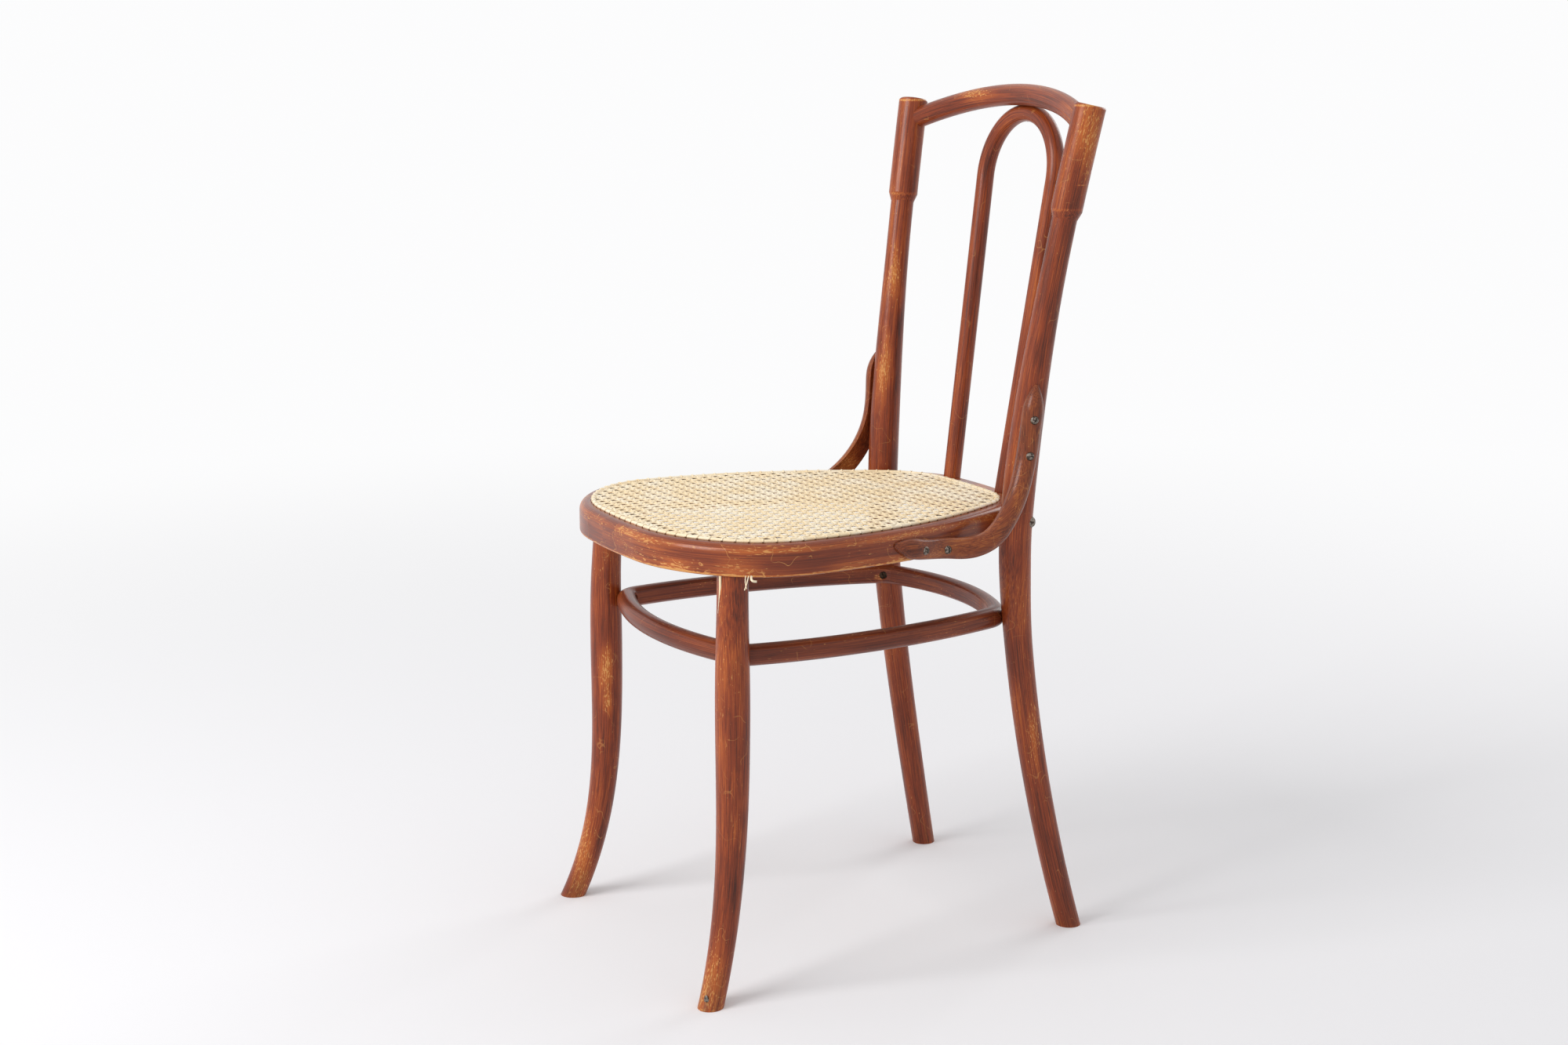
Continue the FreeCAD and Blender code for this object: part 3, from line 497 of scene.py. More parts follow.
def foot_centre(node: str) -> Pair:
    """Find the middle of the sawn end that a leg stands on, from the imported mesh.

    Args:
        node: The leg's name.

    Returns:
        Its x and y.
    """
    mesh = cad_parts[node].data
    points = np.zeros(3 * len(mesh.vertices))
    mesh.vertices.foreach_get("co", points)
    points = points.reshape(-1, 3)
    sole = points[points[:, 2] < MM]
    middle = (sole.min(axis=0) + sole.max(axis=0)) / 2
    return float(middle[0]), float(middle[1])


FRONT_FOOT = foot_centre("front_leg_left")
POST_FOOT = foot_centre("back_post_left")


@dataclass
class BentMembers:
    """Centre lines of the bent members, worked out in the shader of one material.

    A piece on the right is read as its mirror image on the left.
    """

    bench: Bench
    side: Side
    front_flare: Pair = (21.3 * MM, -35.4 * MM)
    front_bend_height: float = 270.0 * MM
    front_bend_power: float = 2.9
    post_foot_bend: Pair = (17.5 * MM, 71.2 * MM)
    post_foot_powers: Pair = (2.3, 1.55)
    post_head_bend: Pair = (38.7 * MM, 55.4 * MM)
    post_head_powers: Pair = (1.58, 1.5)
    post_waists: Pair = (320.0 * MM, 440.0 * MM)
    post_height: float = 880.0 * MM
    post_step_back: float = 12.0 * MM
    rail_sag: Pair = (35.8 * MM, 31.6 * MM)
    rail_diameter: float = 23.0 * MM
    rail_half_span: float = 174.0 * MM
    hoop_radius: float = 67.5 * MM
    hoop_foot_spread: float = 52.3 * MM
    hoop_diameter: float = 19.0 * MM
    brace_bend_centre: Pair = (82.0 * MM, 512.0 * MM)
    brace_bend_radius: float = 68.0 * MM
    facet_depth: float = 0.4 * MM

    def __post_init__(self) -> None:
        """Take the point on the object, mirrored to the left side."""
        x, self.y, self.z = self.bench.place
        self.x = x * self.side.value

    def fibres(self, run: Run) -> Fibres:
        """Follow a member's fibres.

        Args:
            run: Which member.

        Returns:
            The fibre coordinates, in metres.
        """
        ways = {
            Run.FRONT_LEG: self.front_leg,
            Run.POST: self.post,
            Run.SEAT_RING: self.seat_ring,
            Run.STRETCHER: self.stretcher,
            Run.RAIL: self.rail,
            Run.HOOP: self.hoop,
            Run.BRACE: self.brace,
        }
        return ways[run]()

    def front_leg(self) -> Fibres:
        """Follow the front leg, whose flare is a power of the height left below its bend.

        Returns:
            Distances from the centre line, and the height.
        """
        flare = (1.0 - self.z / self.front_bend_height).over(0.0) ** self.front_bend_power
        straight_x = FRONT_FOOT[0] - self.front_flare[0]
        straight_y = FRONT_FOOT[1] - self.front_flare[1]
        across = self.x - straight_x - flare * self.front_flare[0]
        through = self.y - straight_y - flare * self.front_flare[1]
        return Fibres(across, through, self.z)

    def post(self) -> Fibres:
        """Follow the post, which bends by powers of the distance above and below its waist.

        Returns:
            Distances from the centre line, and the height.
        """
        centre = []
        for axis in range(2):
            waist = self.post_waists[axis]
            above = ((self.z - waist) / (self.post_height - waist)).over(0.0)
            below = ((waist - self.z) / waist).over(0.0)
            head = above ** self.post_head_powers[axis] * self.post_head_bend[axis]
            foot = below ** self.post_foot_powers[axis] * self.post_foot_bend[axis]
            centre.append(head + foot + (POST_FOOT[axis] - self.post_foot_bend[axis]))
        step = self.bench.ease(self.z, *self.post_waists) * self.post_step_back
        return Fibres(self.x - centre[0], self.y - centre[1] - step, self.z)

    def ring(self, outline: EggOutline) -> Fibres:
        """Follow a level ring.

        Args:
            outline: The ring's outline.

        Returns:
            Distance outside the outline, height, and the angle round it as a length.
        """
        middle = (outline.arcs[0].y + outline.arcs[-1].y) / 2
        angle = self.bench.math("ARCTAN2", self.x, self.y * -1.0 + middle)
        across = outline.outside(self.bench, self.x, self.y)
        return Fibres(across, self.z, angle * outline.half_width)

    def seat_ring(self) -> Fibres:
        """The seat ring, cut at the depth of a facet, so that no facet shows in the fibres."""
        around = self.ring(SEAT_OUTLINE)
        return replace(around, across=around.across.under(-self.facet_depth))

    def stretcher(self) -> Fibres:
        """The stretcher ring."""
        return self.ring(STRETCHER_OUTLINE)

    def rail(self) -> Fibres:
        """Follow the rail, an arc in a tilted plane.

        Returns:
            Distance outside the arc, distance from its plane, and the way along it.
        """
        bow, rise = self.rail_sag
        sag = math.hypot(bow, rise)
        radius = (self.rail_half_span**2 + sag**2) / (2 * sag)
        back, up = bow / sag, rise / sag
        from_top_y = self.y - (RAIL_BOX[1].y - self.rail_diameter / 2)
        from_top_z = self.z - (RAIL_BOX[1].z - self.rail_diameter / 2)
        reach = from_top_y * back + from_top_z * up + radius
        through = from_top_y * up - from_top_z * back
        across = self.bench.length(self.x, reach) - radius
        return Fibres(across, through, self.bench.math("ARCTAN2", self.x, reach) * radius)

    def hoop(self) -> Fibres:
        """Follow the hoop, straight legs that close into a half circle, in a tilted plane.

        Returns:
            Distance outside the bow, distance from its plane, and the way from its top.
        """
        foot_y, foot_z = HOOP_BOX[0].y + self.hoop_diameter / 2, SEAT_BOX[1].z
        top_y = HOOP_BOX[1].y - self.hoop_diameter / 2
        top_z = HOOP_BOX[1].z - self.hoop_diameter / 2
        length = math.hypot(top_y - foot_y, top_z - foot_z)
        back, up = (top_y - foot_y) / length, (top_z - foot_z) / length
        rise = (self.y - foot_y) * back + (self.z - foot_z) * up
        through = (self.y - foot_y) * up - (self.z - foot_z) * back
        centre = length - self.hoop_radius
        over = (rise - centre).over(0.0)
        spread = (self.hoop_radius - self.hoop_foot_spread) / centre
        wide = self.hoop_radius + (rise - centre).under(0.0) * spread
        across = self.bench.length(self.x, over) - wide
        bow = self.bench.math("ARCTAN2", over, abs(self.x)) * self.hoop_radius
        end = centre + self.hoop_radius * math.pi / 2
        along = (end - (rise.under(centre) + bow)) * self.bench.math("SIGN", self.x)
        return Fibres(across, through, along)

    def brace(self) -> Fibres:
        """Follow the brace, two straight runs joined by a quarter circle in y and z.

        Returns:
            Distance from the bend's centre, the point's x, and the way along.
        """
        centre_y, centre_z = self.brace_bend_centre
        back = (self.y - centre_y).over(0.0)
        down = (centre_z - self.z).over(0.0)
        arc = self.bench.math("ARCTAN2", back, down) * self.brace_bend_radius
        along = (self.y - centre_y).under(0.0) + (self.z - centre_z).over(0.0) + arc
        return Fibres(self.bench.length(back, down), self.x, along)


@dataclass(frozen=True)
class WearEdge:
    """A level edge that hands, feet or brooms have rubbed: height, reach and how bare."""

    height: float
    reach: float
    strength: float

    def rub(self, bench: Bench) -> Signal:
        """How rubbed: most at its height, and none at its reach above or below."""
        away = abs(bench.place[2] - self.height)
        return bench.ease(away, self.reach, 0.0) * self.strength


@dataclass(frozen=True)
class WearSpot:
    """A rubbed place: its centre, how far it reaches along each axis and how bare it is."""

    centre: Point
    reach: Point
    strength: float

    def rub(self, bench: Bench) -> Signal:
        """Find how rubbed a point is: most at the centre, none on the ellipsoid of the reaches.

        Args:
            bench: The material's bench.

        Returns:
            How rubbed it is, from 0 to the strength.
        """
        axes = zip(bench.place, self.centre, self.reach)
        away = bench.length(*((axis - middle) / reach for axis, middle, reach in axes))
        return bench.ease(away, 1.0, 0.0) * self.strength


def rubbed_at(centre: Point, reach: Point, strength: float) -> WearSpot:
    """A rubbed place from its centre and reach in millimetres."""
    in_metres = (tuple(value * MM for value in values) for values in (centre, reach))
    return WearSpot(*in_metres, strength)


@dataclass(frozen=True)
class Grain:
    """A pattern drawn out along the fibres: size across them, length, and fineness."""

    size: float
    length: float
    detail: float

    def noise(self, bench: Bench, fibres: Fibres) -> Signal:
        """Noise in cells of this size and length, on the fibres' coordinates."""
        across, through = fibres.across / self.size, fibres.through / self.size
        return bench.noise(bench.vector(across, through, fibres.along / self.length), self.detail)


@dataclass(frozen=True)
class WoodFinish:
    """Old red-brown stain over beech, thin in places and worn to gold at the edges.

    A pair named edge, patches or bands says where a noise starts to count and where it
    counts in full. Tints, covers, darknesses, heights, depths and dullnesses are weights.
    """

    deep: Colour = srgb(74, 33, 21)
    body: Colour = srgb(137, 59, 30)
    thin: Colour = srgb(178, 92, 41)
    glow: Colour = srgb(192, 112, 46)
    stain_places: tuple[float, ...] = (0.25, 0.5, 0.72, 0.95)
    beech: Colour = srgb(214, 152, 86)
    grime: Colour = srgb(56, 28, 20)
    shift: float = 0.0

    fibre: Grain = Grain(0.9 * MM, 60.0 * MM, 3.0)
    band: Grain = Grain(6.0 * MM, 150.0 * MM, 2.0)
    patch: Grain = Grain(110.0 * MM / 3, 110.0 * MM, 3.0)
    fleck: Grain = Grain(1.2 * MM, 4.0 * MM, 4.0)
    pore: Grain = Grain(0.6 * MM, 11.0 * MM, 2.0)
    dirt: Grain = Grain(6.0 * MM, 60.0 * MM, 4.0)

    grain: float = 0.85
    band_tint: float = 0.3
    patch_tint: float = 0.65
    rubbed_tint: float = 0.42

    nicks: float = 0.25
    nick_patches: Pair = (0.46, 0.66)
    nick_edge: Pair = (0.70, 0.78)
    nick_cover: float = 0.85
    rubbed_push: float = 0.3
    scratches: float = 0.3
    scratch_spacing: float = 26.0 * MM
    scratch_width: float = 0.008
    scratch_patches: Pair = (0.52, 0.62)
    scratch_patch_slice: float = 7.0

    pore_edge: Pair = (0.58, 0.70)
    pore_darkness: float = 0.5
    dirt_edge: Pair = (0.60, 0.80)
    dirt_darkness: float = 0.3
    kept_clean_where_bare: float = 0.7
    foot_height: float = 55.0 * MM
    foot_bands: Pair = (0.35, 0.6)
    foot_darkness: float = 0.45

    relief: float = 0.1 * MM
    fibre_height: float = 0.3
    band_height: float = 0.3
    bare_depth: float = 0.5
    pore_depth: float = 0.3
    roughness: float = 0.37
    fibre_dullness: float = 0.12
    bare_dullness: float = 0.2
    patch_dullness: float = 0.2
    specular: float = 0.16
    coat: float = 0.3
    coat_roughness: float = 0.2

    def on(self, side: Side) -> "WoodFinish":
        """The same finish on another stretch of timber for each side."""
        return replace(self, shift=self.shift + side.value)

    def material(
        self, name: str, run: Run, side: Side, marks: list[WearEdge | WearSpot]
    ) -> bpy.types.Material:
        """Build the material.

        The stain is a ramp on long fibres, bands and patches, and lighter where it is
        rubbed. Bare wood comes through it, and pores, dirt and soiled feet darken it.

        Args:
            name: The material's name.
            run: The member that its fibres follow.
            side: The side that the member is on.
            marks: Rubbed edges and places.

        Returns:
            The finished material.
        """
        bench = MaterialBench(name)
        course = BentMembers(bench, side).fibres(run)
        fibres = replace(course, along=course.along + self.shift)
        layers = (self.fibre, self.band, self.patch)
        fibre, band, patch = (layer.noise(bench, fibres) for layer in layers)
        rubbed = sum(mark.rub(bench) for mark in marks)
        tint = fibre.swing(self.grain) + band.swing(self.band_tint) + patch.swing(self.patch_tint)
        shades = (self.deep, self.body, self.thin, self.glow)
        stain = bench.ramp(tint + rubbed * self.rubbed_tint + 0.5, list(zip(self.stain_places, shades)))
        bare = self.bared(bench, fibres, patch, rubbed)
        pore = bench.ease(self.pore.noise(bench, fibres), *self.pore_edge)
        dirt = bench.ease(self.dirt.noise(bench, fibres), *self.dirt_edge)
        dark = pore * self.pore_darkness + dirt * self.dirt_darkness
        dark = dark * (1.0 - bare * self.kept_clean_where_bare) + self.trodden(bench, band)
        colour = bench.blend(dark, bench.blend(bare, stain, self.beech), self.grime)
        height = fibre * self.fibre_height + band * self.band_height
        height = height - bare * self.bare_depth - pore * self.pore_depth
        dullness = fibre.swing(self.fibre_dullness) + bare * self.bare_dullness
        return bench.finish(
            {
                "Base Color": colour,
                "Roughness": dullness + patch.swing(self.patch_dullness) + self.roughness,
                "Normal": bench.bump(height, self.relief),
                "Specular IOR Level": self.specular,
                "Coat Weight": self.coat,
                "Coat Roughness": self.coat_roughness,
            }
        )

    def bared(self, bench: Bench, fibres: Fibres, patch: Signal, rubbed: Signal | float) -> Signal:
        """Find where bare wood shows.

        Flecks come through where their noise, raised by wear and in the patches, passes an
        edge. Scratches join them.

        Args:
            bench: The material's bench.
            fibres: The fibre coordinates.
            patch: The noise of the stain's patches.
            rubbed: How rubbed the place is.

        Returns:
            The share of bare wood, up to 1.
        """
        crowd = bench.ease(patch, *self.nick_patches)
        raised = self.fleck.noise(bench, fibres) + (rubbed + crowd * self.nicks) * self.rubbed_push
        worn = bench.ease(raised, *self.nick_edge) * self.nick_cover
        return (worn + self.scratched(bench, rubbed) * self.scratches).under(1.0)

    def scratched(self, bench: Bench, rubbed: Signal | float) -> Signal:
        """Draw thin lines where a slow noise passes its middle value, kept in patches.

        Args:
            bench: The material's bench.
            rubbed: How rubbed the place is.

        Returns:
            1 in a scratch.
        """
        slow = bench.cloud(self.scratch_spacing, detail=1.5)
        line = bench.ease(abs(slow - 0.5), self.scratch_width, self.scratch_width / 3)
        x, y, z = (axis / self.scratch_spacing for axis in bench.place)
        patch = bench.noise(bench.vector(z + self.scratch_patch_slice, x, y), detail=2.0)
        return line * bench.ease(patch + rubbed * self.rubbed_push, *self.scratch_patches)

    def trodden(self, bench: Bench, band: Signal) -> Signal:
        """How dark the floor's soil makes the foot, in bands that fade with the height."""
        low = bench.ease(bench.place[2], self.foot_height, 0.0)
        return low * bench.ease(band, *self.foot_bands) * self.foot_darkness


@dataclass(frozen=True)
class CaneFinish:
    """Split cane: glossy straw skin with fine lengthwise lines and paler, drier patches."""

    skin: Colour = srgb(252, 230, 189)
    pale: Colour = srgb(254, 241, 214)
    tan: Colour = srgb(226, 192, 140)
    # Colour of the low sides of the strands: partly dust, partly painted shade.
    shade: Colour = srgb(104, 72, 44)
    line_length: float = 12.0 * MM
    line_width: float = 0.25 * MM
    line_edge: Pair = (0.56, 0.78)
    line_cover: float = 0.3
    cloud_size: float = 35.0 * MM
    tone_length: float = 60.0 * MM
    tone_width: float = 9.0 * MM
    tone_slice: float = 4.0
    tone_weight: float = 0.8
    pale_edge: Pair = (0.38, 0.66)
    # How far below the level the darkening reaches and how strong it is: partly dust, partly painted
    # shade.
    dust_and_shade_depth: float = 0.5 * MM
    dust_and_shade_cover: float = 0.85
    roughness: float = 0.42
    line_dullness: float = 0.2
    relief: float = 0.03 * MM

    def material(self, name: str, dust_and_shade_level: float) -> bpy.types.Material:
        """Build the material on a UV map in metres, along and across the strand.

        Args:
            name: The material's name.
            dust_and_shade_level: Height under which the sides of the strands are darkened, partly by dust
                and partly by painted shade of the hollows between them.

        Returns:
            The finished material.
        """
        bench = MaterialBench(name)
        along, across, _ = bench.parts(bench.node("UVMap", {"uv_map": "UVMap"}).outputs[0])
        line_spot = bench.vector(along / self.line_length, across / self.line_width, 0.0)
        tone_spot = bench.vector(along / self.tone_length, across / self.tone_width, self.tone_slice)
        line, tone = bench.noise(line_spot, detail=2.0), bench.noise(tone_spot, detail=1.0)
        dry = bench.cloud(self.cloud_size, detail=3.0) + tone.swing(self.tone_weight)
        colour = bench.blend(bench.ease(dry, *self.pale_edge), self.skin, self.pale)
        lined = bench.ease(line, *self.line_edge) * self.line_cover
        colour = bench.blend(lined, colour, self.tan)
        # Painted shade with dust: the strands grow darker below the level, where the gaps of the weave lie
        # in shadow.
        dust_and_shade = bench.ease(bench.place[2], dust_and_shade_level, dust_and_shade_level - self.dust_and_shade_depth)
        colour = bench.blend(dust_and_shade * self.dust_and_shade_cover, colour, self.shade)
        return bench.finish(
            {
                "Base Color": colour,
                "Roughness": self.roughness + line.swing(self.line_dullness),
                "Normal": bench.bump(line, self.relief),
            }
        )


@dataclass(frozen=True)
class SteelFinish:
    """Dulled screw steel with brown tarnish in patches."""

    bright: Colour = srgb(140, 130, 120)
    dull: Colour = srgb(66, 52, 44)
    patch_size: float = 2.4 * MM
    patch_edge: Pair = (0.42, 0.6)
    metallic: float = 0.95
    tarnish_earthiness: float = 0.45
    roughness: float = 0.36
    tarnish_dullness: float = 0.25
    relief: float = 0.05 * MM

    def material(self, name: str) -> bpy.types.Material:
        """Build the material on the object's own coordinates.

        Args:
            name: The material's name.

        Returns:
            The finished material.
        """
        bench = MaterialBench(name)
        patch = bench.cloud(self.patch_size, detail=4.0)
        tarnish = bench.ease(patch, *self.patch_edge)
        return bench.finish(
            {
                "Base Color": bench.blend(tarnish, self.bright, self.dull),
                "Metallic": self.metallic - tarnish * self.tarnish_earthiness,
                "Roughness": self.roughness + tarnish * self.tarnish_dullness,
                "Normal": bench.bump(patch, self.relief),
            }
        )


def placed(name: str, data: bpy.types.ID) -> bpy.types.Object:
    """Put a mesh, lamp or camera into the scene as an object at the origin.

    Args:
        name: The object's name.
        data: What it shows.

    Returns:
        The object.
    """
    made = bpy.data.objects.new(name, data)
    bpy.context.scene.collection.objects.link(made)
    return made


def way_along(points: np.ndarray) -> np.ndarray:
    """Distance of each point from the first, along the line that joins them."""
    steps = np.linalg.norm(np.diff(points, axis=0), axis=1)
    return np.concatenate([[0.0], np.cumsum(steps)])


def unit(rows: np.ndarray) -> np.ndarray:
    """Each row at length one."""
    return rows / np.linalg.norm(rows, axis=1)[:, None]


def headings_of(path: np.ndarray) -> np.ndarray:
    """Direction of a path at each of its stations."""
    return unit(np.gradient(path, axis=0))


@dataclass
class Surface:
    """Points, faces and UV of a mesh that grows strand by strand."""

    points: list[np.ndarray] = field(default_factory=list)
    quads: list[np.ndarray] = field(default_factory=list)
    caps: list[np.ndarray] = field(default_factory=list)
    uvs: list[np.ndarray] = field(default_factory=list)
    count: int = 0

    def sweep(
        self,
        path: np.ndarray,
        side: np.ndarray,
        section: np.ndarray,
        level: bool = False,
        closed: bool = False,
    ) -> None:
        """Carry a section along a path.

        Point (i, j) is path i plus section j's first value along side i and its second
        value along up i. The section turns against the clock when seen along the path,
        so that the faces look outwards.

        Args:
            path: Stations, one row each.
            side: Direction of the section's first value, one for all or one to a station.
            section: The section's points, one row each.
            level: True if up is straight up, False if it is square to path and side.
            closed: True if the path ends where it starts.
        """
        side = np.broadcast_to(side, path.shape)
        up = np.tile(UP, (len(path), 1)) if level else np.cross(headings_of(path), side)
        grid = (
            path[:, None, :]
            + side[:, None, :] * section[None, :, 0:1]
            + up[:, None, :] * section[None, :, 1:2]
        )
        self.skin(grid, closed)

    def skin(self, grid: np.ndarray, closed: bool = False) -> None:
        """Cover a grid of stations by corners, each row a closed ring, with quads and end caps.

        The UV is the distance along the first corner's line and round the first ring.

        Args:
            grid: Points, stations by corners by three.
            closed: True if the last row joins the first.
        """
        stations, corners = grid.shape[:2]
        index = self.count + np.arange(stations * corners).reshape(stations, corners)
        nearer = index if closed else index[:-1]
        further = np.roll(index, -1, axis=0) if closed else index[1:]
        turned, turned_further = np.roll(nearer, -1, axis=1), np.roll(further, -1, axis=1)
        quads = np.stack([nearer, turned, turned_further, further], axis=2).reshape(-1, 4)
        run, width = way_along(grid[:, 0]), way_along(grid[0])
        uv = np.stack(np.broadcast_arrays(run[:, None], width[None, :]), axis=2).reshape(-1, 2)
        self.points.append(grid.reshape(-1, 3))
        self.quads.append(quads)
        self.uvs.append(uv)
        if not closed:
            self.caps += [index[0][::-1], index[-1]]
        self.count += stations * corners

    def piece(self, name: str, material: bpy.types.Material) -> bpy.types.Object:
        """Make the object: the place is in the mesh, and the object sits at the origin.

        Args:
            name: The object's name.
            material: Its material.

        Returns:
            The object, linked into the scene.
        """
        uvs = np.concatenate(self.uvs)
        faces = [tuple(row) for row in np.concatenate(self.quads).tolist()]
        faces += [tuple(cap.tolist()) for cap in self.caps]
        mesh = bpy.data.meshes.new(name)
        mesh.from_pydata(np.concatenate(self.points).tolist(), [], faces)
        corner_points = np.zeros(len(mesh.loops), dtype=np.int32)
        mesh.loops.foreach_get("vertex_index", corner_points)
        layer = mesh.uv_layers.new(name="UVMap")
        layer.data.foreach_set("uv", uvs[corner_points].astype(np.float32).ravel())
        mesh.polygons.foreach_set("use_smooth", np.ones(len(mesh.polygons), dtype=bool))
        mesh.materials.append(material)
        mesh.update()
        return placed(name, mesh)


def mirrored_section(left: list[Pair]) -> np.ndarray:
    """A section from its left side, bottom to top middle, that turns against the clock."""
    rows = np.array(left)
    return np.concatenate([rows, rows[-2::-1] * (-1.0, 1.0)])[::-1]


def lens(width: float, thickness: float) -> np.ndarray:
    """Section of split cane: flat below and round above.

    Args:
        width: Its width.
        thickness: Its thickness, somewhat more of it above the path than below.

    Returns:
        The section's points.
    """
    half, high, low = width / 2, thickness * 0.62, -thickness * 0.38
    return mirrored_section(
        [(-half * 0.8, low), (-half, thickness * 0.05), (-half * 0.5, high * 0.85), (0.0, high)]
    )


def dome(width: float, height: float) -> np.ndarray:
    """Section of a strip that lies flat on the wood.

    Args:
        width: Its width.
        height: Its height in the middle.

    Returns:
        The section's points.
    """
    half = width / 2
    return mirrored_section(
        [(-half, 0.0), (-half, height * 0.55), (-half * 0.6, height * 0.9), (0.0, height)]
    )


class Weave(Enum):
    """The strand families of six-way caning, by how they run over the seat."""

    FRONT_BACK = "front_back"
    ACROSS = "across"
    DIAGONAL = "diagonal"
    COUNTER_DIAGONAL = "counter_diagonal"


@dataclass(frozen=True)
class Strand:
    """A straight strand in plan.

    which is -1 or 1 for the two strands of a pair, direction is a unit vector along it,
    and offset is how far it lies to the left of the origin, seen along it.
    """

    family: Weave
    which: int
    direction: np.ndarray
    offset: float

    @property
    def normal(self) -> np.ndarray:
        """The direction turned to the left."""
        return np.array([-self.direction[1], self.direction[0]])


@dataclass(frozen=True)
class LooseEnd:
    """A hanging strand end: the three points of its curve and its width, in millimetres."""

    start: Point
    bend: Point
    tip: Point
    width: float

    def path(self, stations: int) -> np.ndarray:
        """Work out the quadratic curve that starts towards the bend and ends at the tip.

        Args:
            stations: How many points it gets.

        Returns:
            The points in metres.
        """
        share = np.linspace(0.0, 1.0, stations)[:, None]
        start, bend, tip = (np.array(point) * MM for point in (self.start, self.bend, self.tip))
        return start * (1 - share) ** 2 + bend * 2 * share * (1 - share) + tip * share**2


@dataclass
class CaneSeat:
    """The hand-woven seat: pairs both ways, diagonals, binder strip, ties and loose ends."""

    pitch: float = 13.2 * MM
    strand_width: float = 2.5 * MM
    diagonal_width: float = 2.7 * MM
    thickness: float = 0.8 * MM
    pair_spread: float = 1.35 * MM
    weave_reach: float = 0.5
    lift_in_thicknesses: float = 1.5
    stations_per_pitch: int = 8
    border: float = 2.6 * MM
    border_stations: int = 1441
    border_drop: float = 0.3
    undulation: float = 0.6
    undulation_at_border: float = 0.25
    diagonal_rise: float = 1.2
    wander: float = 0.12 * MM
    sway_per_metre: float = 23.0
    sway_per_offset: float = 900.0
    # Depth under the weave's middle where dust and painted shade begin on the woven strands.
    dust_and_shade_under_weave: float = 0.15 * MM
    binder_width: float = 4.7 * MM
    binder_height: float = 2.9 * MM
    binder_stations: int = 420
    tie_width: float = 2.0 * MM
    thin_strand: float = 0.6 * MM
    tie_overhang: float = 0.35 * MM
    tie_rise: float = 0.25 * MM
    tie_stations: int = 11
    loop_depth: float = 0.9 * MM
    loops_left_out: float = 0.12
    loop_stations: int = 7
    loose_ends_face: Point = (0.886, -0.463, 0.2)
    loose_stations: int = 13
    loose: tuple[LooseEnd, ...] = (
        LooseEnd((159.0, -205.0, 436.0), (156.5, -203.0, 415.0), (155.5, -204.5, 395.0), 2.4),
        LooseEnd((184.0, -183.0, 436.0), (191.0, -189.0, 432.0), (188.5, -180.0, 431.0), 2.2),
        LooseEnd((183.0, -186.0, 436.0), (188.0, -190.0, 430.0), (186.0, -192.0, 423.0), 1.0),
        LooseEnd((181.0, -188.0, 436.0), (188.0, -193.0, 431.0), (185.0, -189.0, 424.0), 0.9),
    )
    seed: int = 12

    def __post_init__(self) -> None:
        """Work out the height and the border that all strands share."""
        self.level = PANEL_BOX[0].z + self.lift_in_thicknesses * self.thickness
        headings = np.linspace(0.0, 360.0, self.border_stations)
        self.border_points = CANE_OUTLINE.points(headings, -self.border)
        self.random = np.random.default_rng(self.seed)

    def chord(self, strand: Strand) -> Pair | None:
        """Find where a strand's line crosses the border.

        The border is seen in the line's own axes, and its two chains, from the lowest
        offset to the highest, are read off at this offset.

        Args:
            strand: The strand.

        Returns:
            Distances along the line of the two crossings, or None if it passes outside.
        """
        across = self.border_points[:-1] @ strand.normal
        along = self.border_points[:-1] @ strand.direction
        low, high = int(np.argmin(across)), int(np.argmax(across))
        if not across[low] + self.border < strand.offset < across[high] - self.border:
            return None
        across, along = np.roll(across, -low), np.roll(along, -low)
        top = (high - low) % len(across)
        first = np.interp(strand.offset, across[: top + 1], along[: top + 1])
        back_across = np.append(across[top:], across[0])[::-1]
        back_along = np.append(along[top:], along[0])[::-1]
        second = np.interp(strand.offset, back_across, back_along)
        return min(first, second), max(first, second)

    def heights(self, strand: Strand, x: np.ndarray, y: np.ndarray) -> np.ndarray:
        """Find a strand's height above the middle of the weave.

        The pairs pass over and under each other, a sine of one pitch. A diagonal rises
        over one set of pairs and dips under the other, a cosine of one pitch.

        Args:
            strand: The strand.
            x, y: Points along it.

        Returns:
            The height at each point.
        """
        turn = 2 * math.pi / self.pitch
        wave = self.undulation * self.thickness
        if strand.family is Weave.FRONT_BACK:
            return strand.which * wave * np.sin(turn * (y - SEAT_WIDEST_Y))
        if strand.family is Weave.ACROSS:
            return -strand.which * wave * np.sin(turn * x)
        rise = self.diagonal_rise * wave * np.cos(turn * x)
        return rise if strand.family is Weave.DIAGONAL else -rise

    def lay(self, surface: Surface, strand: Strand, width: float) -> None:
        """Lay one strand from border to border.

        It wanders off its line by a constant and a slow sine. Towards the border its wave
        grows flatter, and over the last half pitch it drops a little.

        Args:
            surface: The mesh that it joins.
            strand: The strand.
            width: Its width.
        """
        ends = self.chord(strand)
        if ends is None:
            return
        step = self.pitch / self.stations_per_pitch / np.abs(strand.direction).max()
        stations = max(4, int((ends[1] - ends[0]) / step) + 2)
        run = np.linspace(*ends, stations)
        drift, sway, _ = self.random.normal(0.0, self.wander, 3)
        turn = run * self.sway_per_metre + strand.offset * self.sway_per_offset
        aside = strand.offset + (drift + sway * np.sin(turn))
        spot = run[:, None] * strand.direction + aside[:, None] * strand.normal
        from_end = np.minimum(run - ends[0], ends[1] - run)
        settled = np.clip(from_end / self.pitch, 0.0, 1.0)
        full = self.undulation_at_border + (1.0 - self.undulation_at_border) * settled
        height = self.heights(strand, spot[:, 0], spot[:, 1]) * full
        near_end = 1.0 - np.clip(from_end / (0.5 * self.pitch), 0.0, 1.0)
        drop = near_end * self.border_drop * self.thickness
        path = np.column_stack([spot, self.level + height - drop])
        surface.sweep(path, np.append(strand.normal, 0.0), lens(width, self.thickness), level=True)

